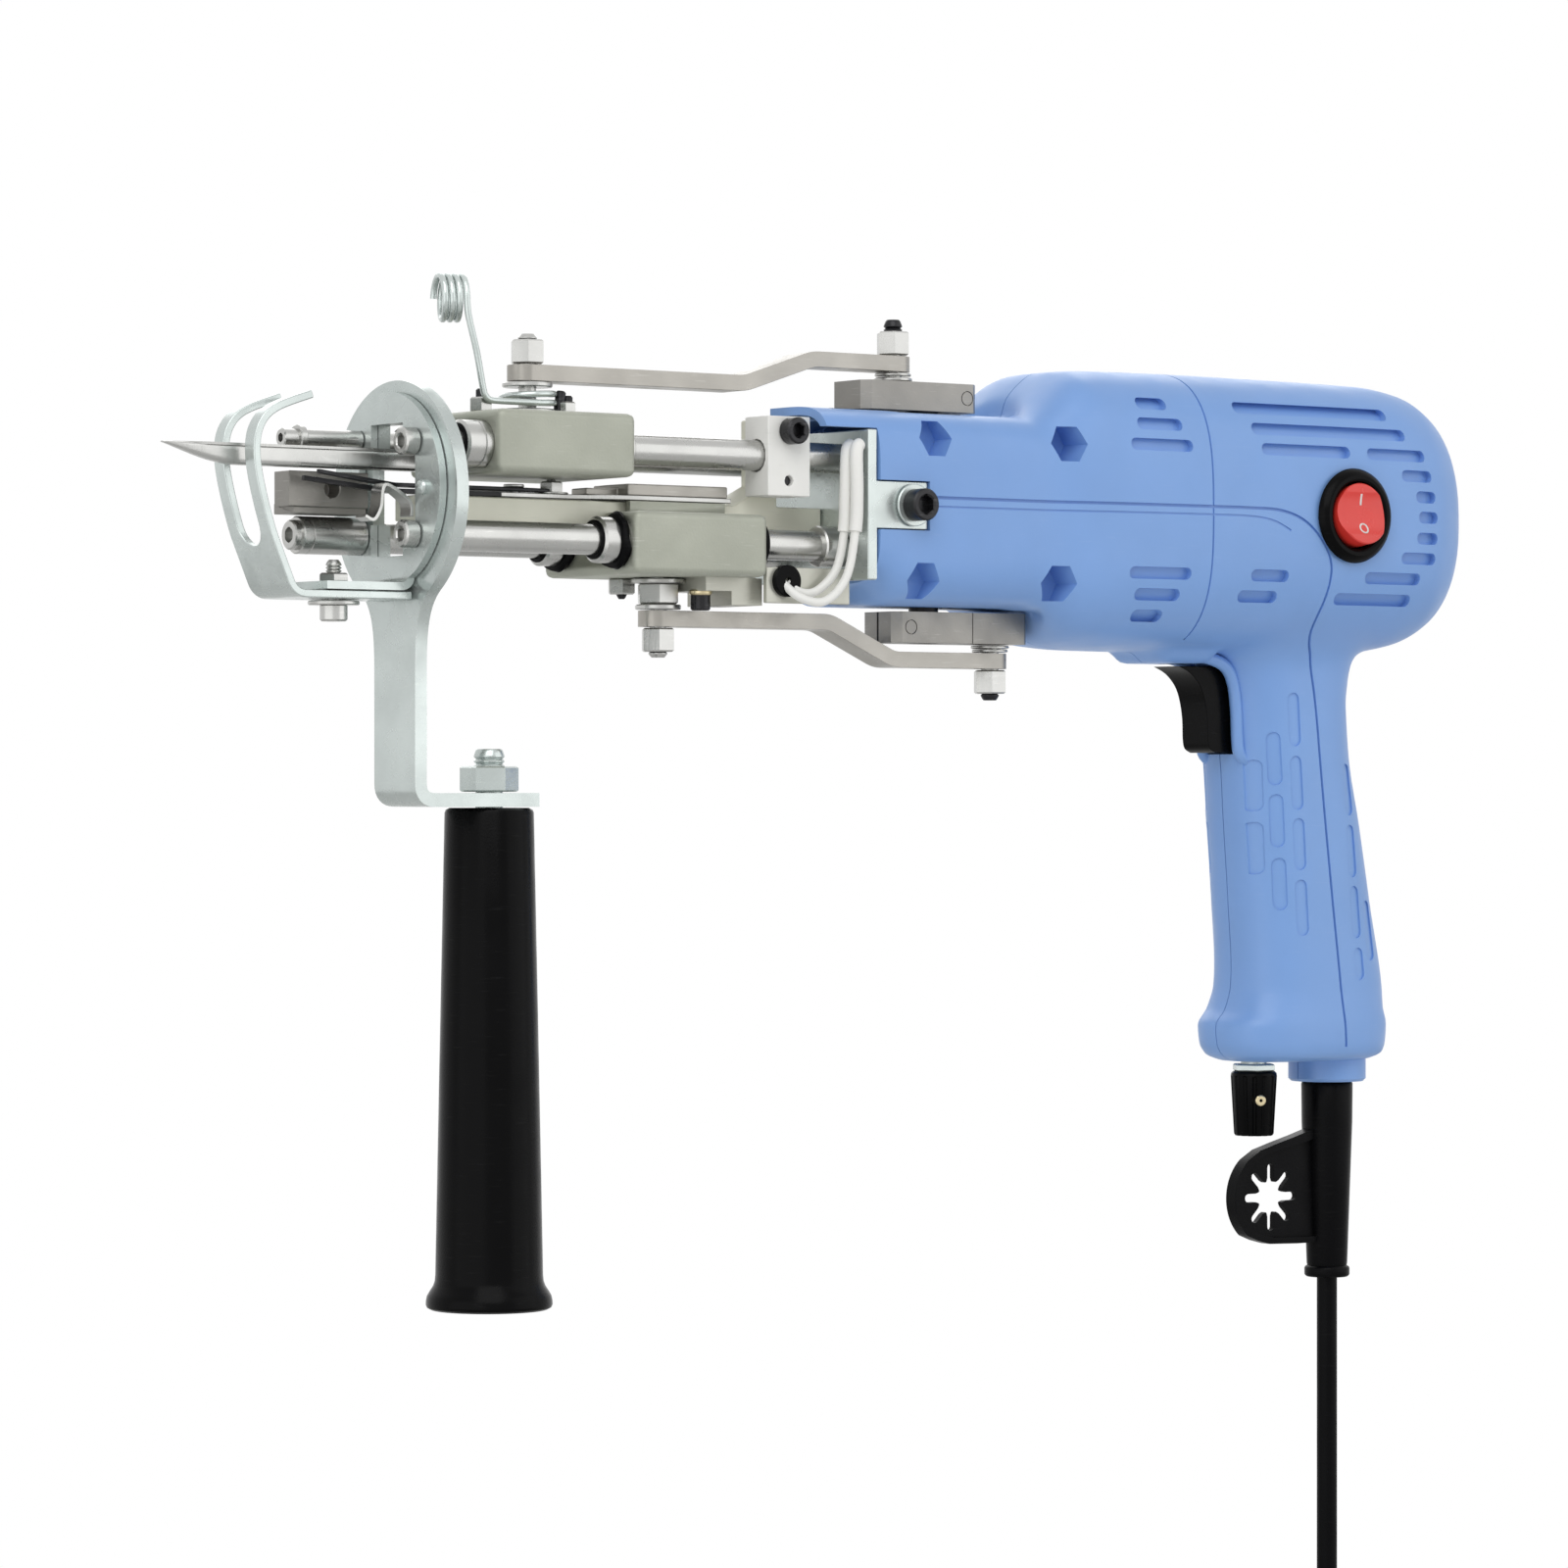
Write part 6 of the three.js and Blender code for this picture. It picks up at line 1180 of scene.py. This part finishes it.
leads = {"thin": 1.15, "sleeve": 1.75, "lines": (
    [(128.9, -20.5, 15), (126.6, -21.4, 13), (126, -21.6, 2), (125.4, -21.6, -8), (123, -21.2, -18),
     (117.4, -20.4, -23.6), (112.4, -19.6, -24), (109.6, -18.2, -21.2)],
    [(128.9, -24.4, 15), (126.8, -25.2, 13), (126.8, -25.4, 2), (126.2, -25.4, -8), (123.6, -25, -20),
     (117, -24.6, -26.4), (110.6, -22.6, -25.6), (107.4, -18.2, -21.4)])}


def makeLeads():
    lines = [curve(line, 10) for line in leads["lines"]]
    parts = [swept(spots, size) for line in lines
             for spots, size in ((line, leads["thin"]), (line[4:31], leads["sleeve"]))]
    addPiece("lead_wires", "white_plastic", "root", parts, "lead_wire", smooth=50)
    ringPiece("lead_grommet", "black_plastic", "root", [((108.6, -20, -21.2), away, washer(0, 3.2, 4.2, 1))])
    build("lead_plate", "pale_metal", "root", [cuboid((102.6, 129.7), (-18.4, -16.8), (-27, -17.6))])


trigger = {"half": 5.5, "edge": 2.2, "sharp": 45, "rimSide": 7.7, "rim": 1.8, "back": [(278.8, -65.4), (278.8, -41.4)],
           "line": [(253.4, -41.4), (257.6, -43.3), (261, -46.6), (262.8, -50.6), (263.8, -56), (264, -61.6),
                    (264.7, -64.2), (266.8, -65.4)],
           "rimLine": [(250, -37.6), (256, -38.6), (262, -39), (268.3, -41.3), (271.3, -46), (272.5, -53.6),
                       (272.9, -61.6), (274, -66), (279, -69)]}


def makeTrigger():
    outline = curve(trigger["line"], 4) + [Vector(p) for p in trigger["back"]]
    build("trigger_blade", "black_plastic", "trigger", [prism(outline, -trigger["half"], trigger["half"], "xz")],
          "trigger", edge=trigger["edge"], segments=5, sharp=trigger["sharp"])
    rims = [[(p.x, y, p.y) for p in curve(trigger["rimLine"], 5)] for y in (-trigger["rimSide"], trigger["rimSide"])]
    addPiece("trigger_rim", "casing", "root", [swept(rim, trigger["rim"], 12) for rim in rims], smooth=40)


for maker in (makeFront, makeNeedle, makeDrive, makeBlocks, makeFittings, makeBlades, makeWire, makeLeads, makeTrigger):
    maker()
print("flat and bent pieces are in")


# CAD nodes whose shape is right keep it, with edges softened and a finish of their own
edgeWidths = {"steel": 0.25, "zinc": 0.35, "pale_metal": 0.45, "cast_metal": 0.5, "casing": 0.5}
# blade_block takes the darker dark_steel: painted shade standing for the shade on its near side
# centre_beam takes the lit copy of pale_metal: painted light on a beam that sits in shade
otherPaints = {"blade_block": "dark_steel", "moving_blade": "black_steel", "centre_beam": "beam_metal_painted_light"}
dressed = {name: node for name, node in frame["nodes"].items() if not node.hide_render}
for name, node in dressed.items():
    node.data.materials.clear()
    node.data.materials.append(paints[otherPaints.get(name, slotOf[name])])
    node.modifiers.new("weld", "WELD").merge_threshold = 0.01 * mm
    soften(node, edgeWidths.get(slotOf[name], 0.3))
print("dressed CAD nodes:", len(dressed))
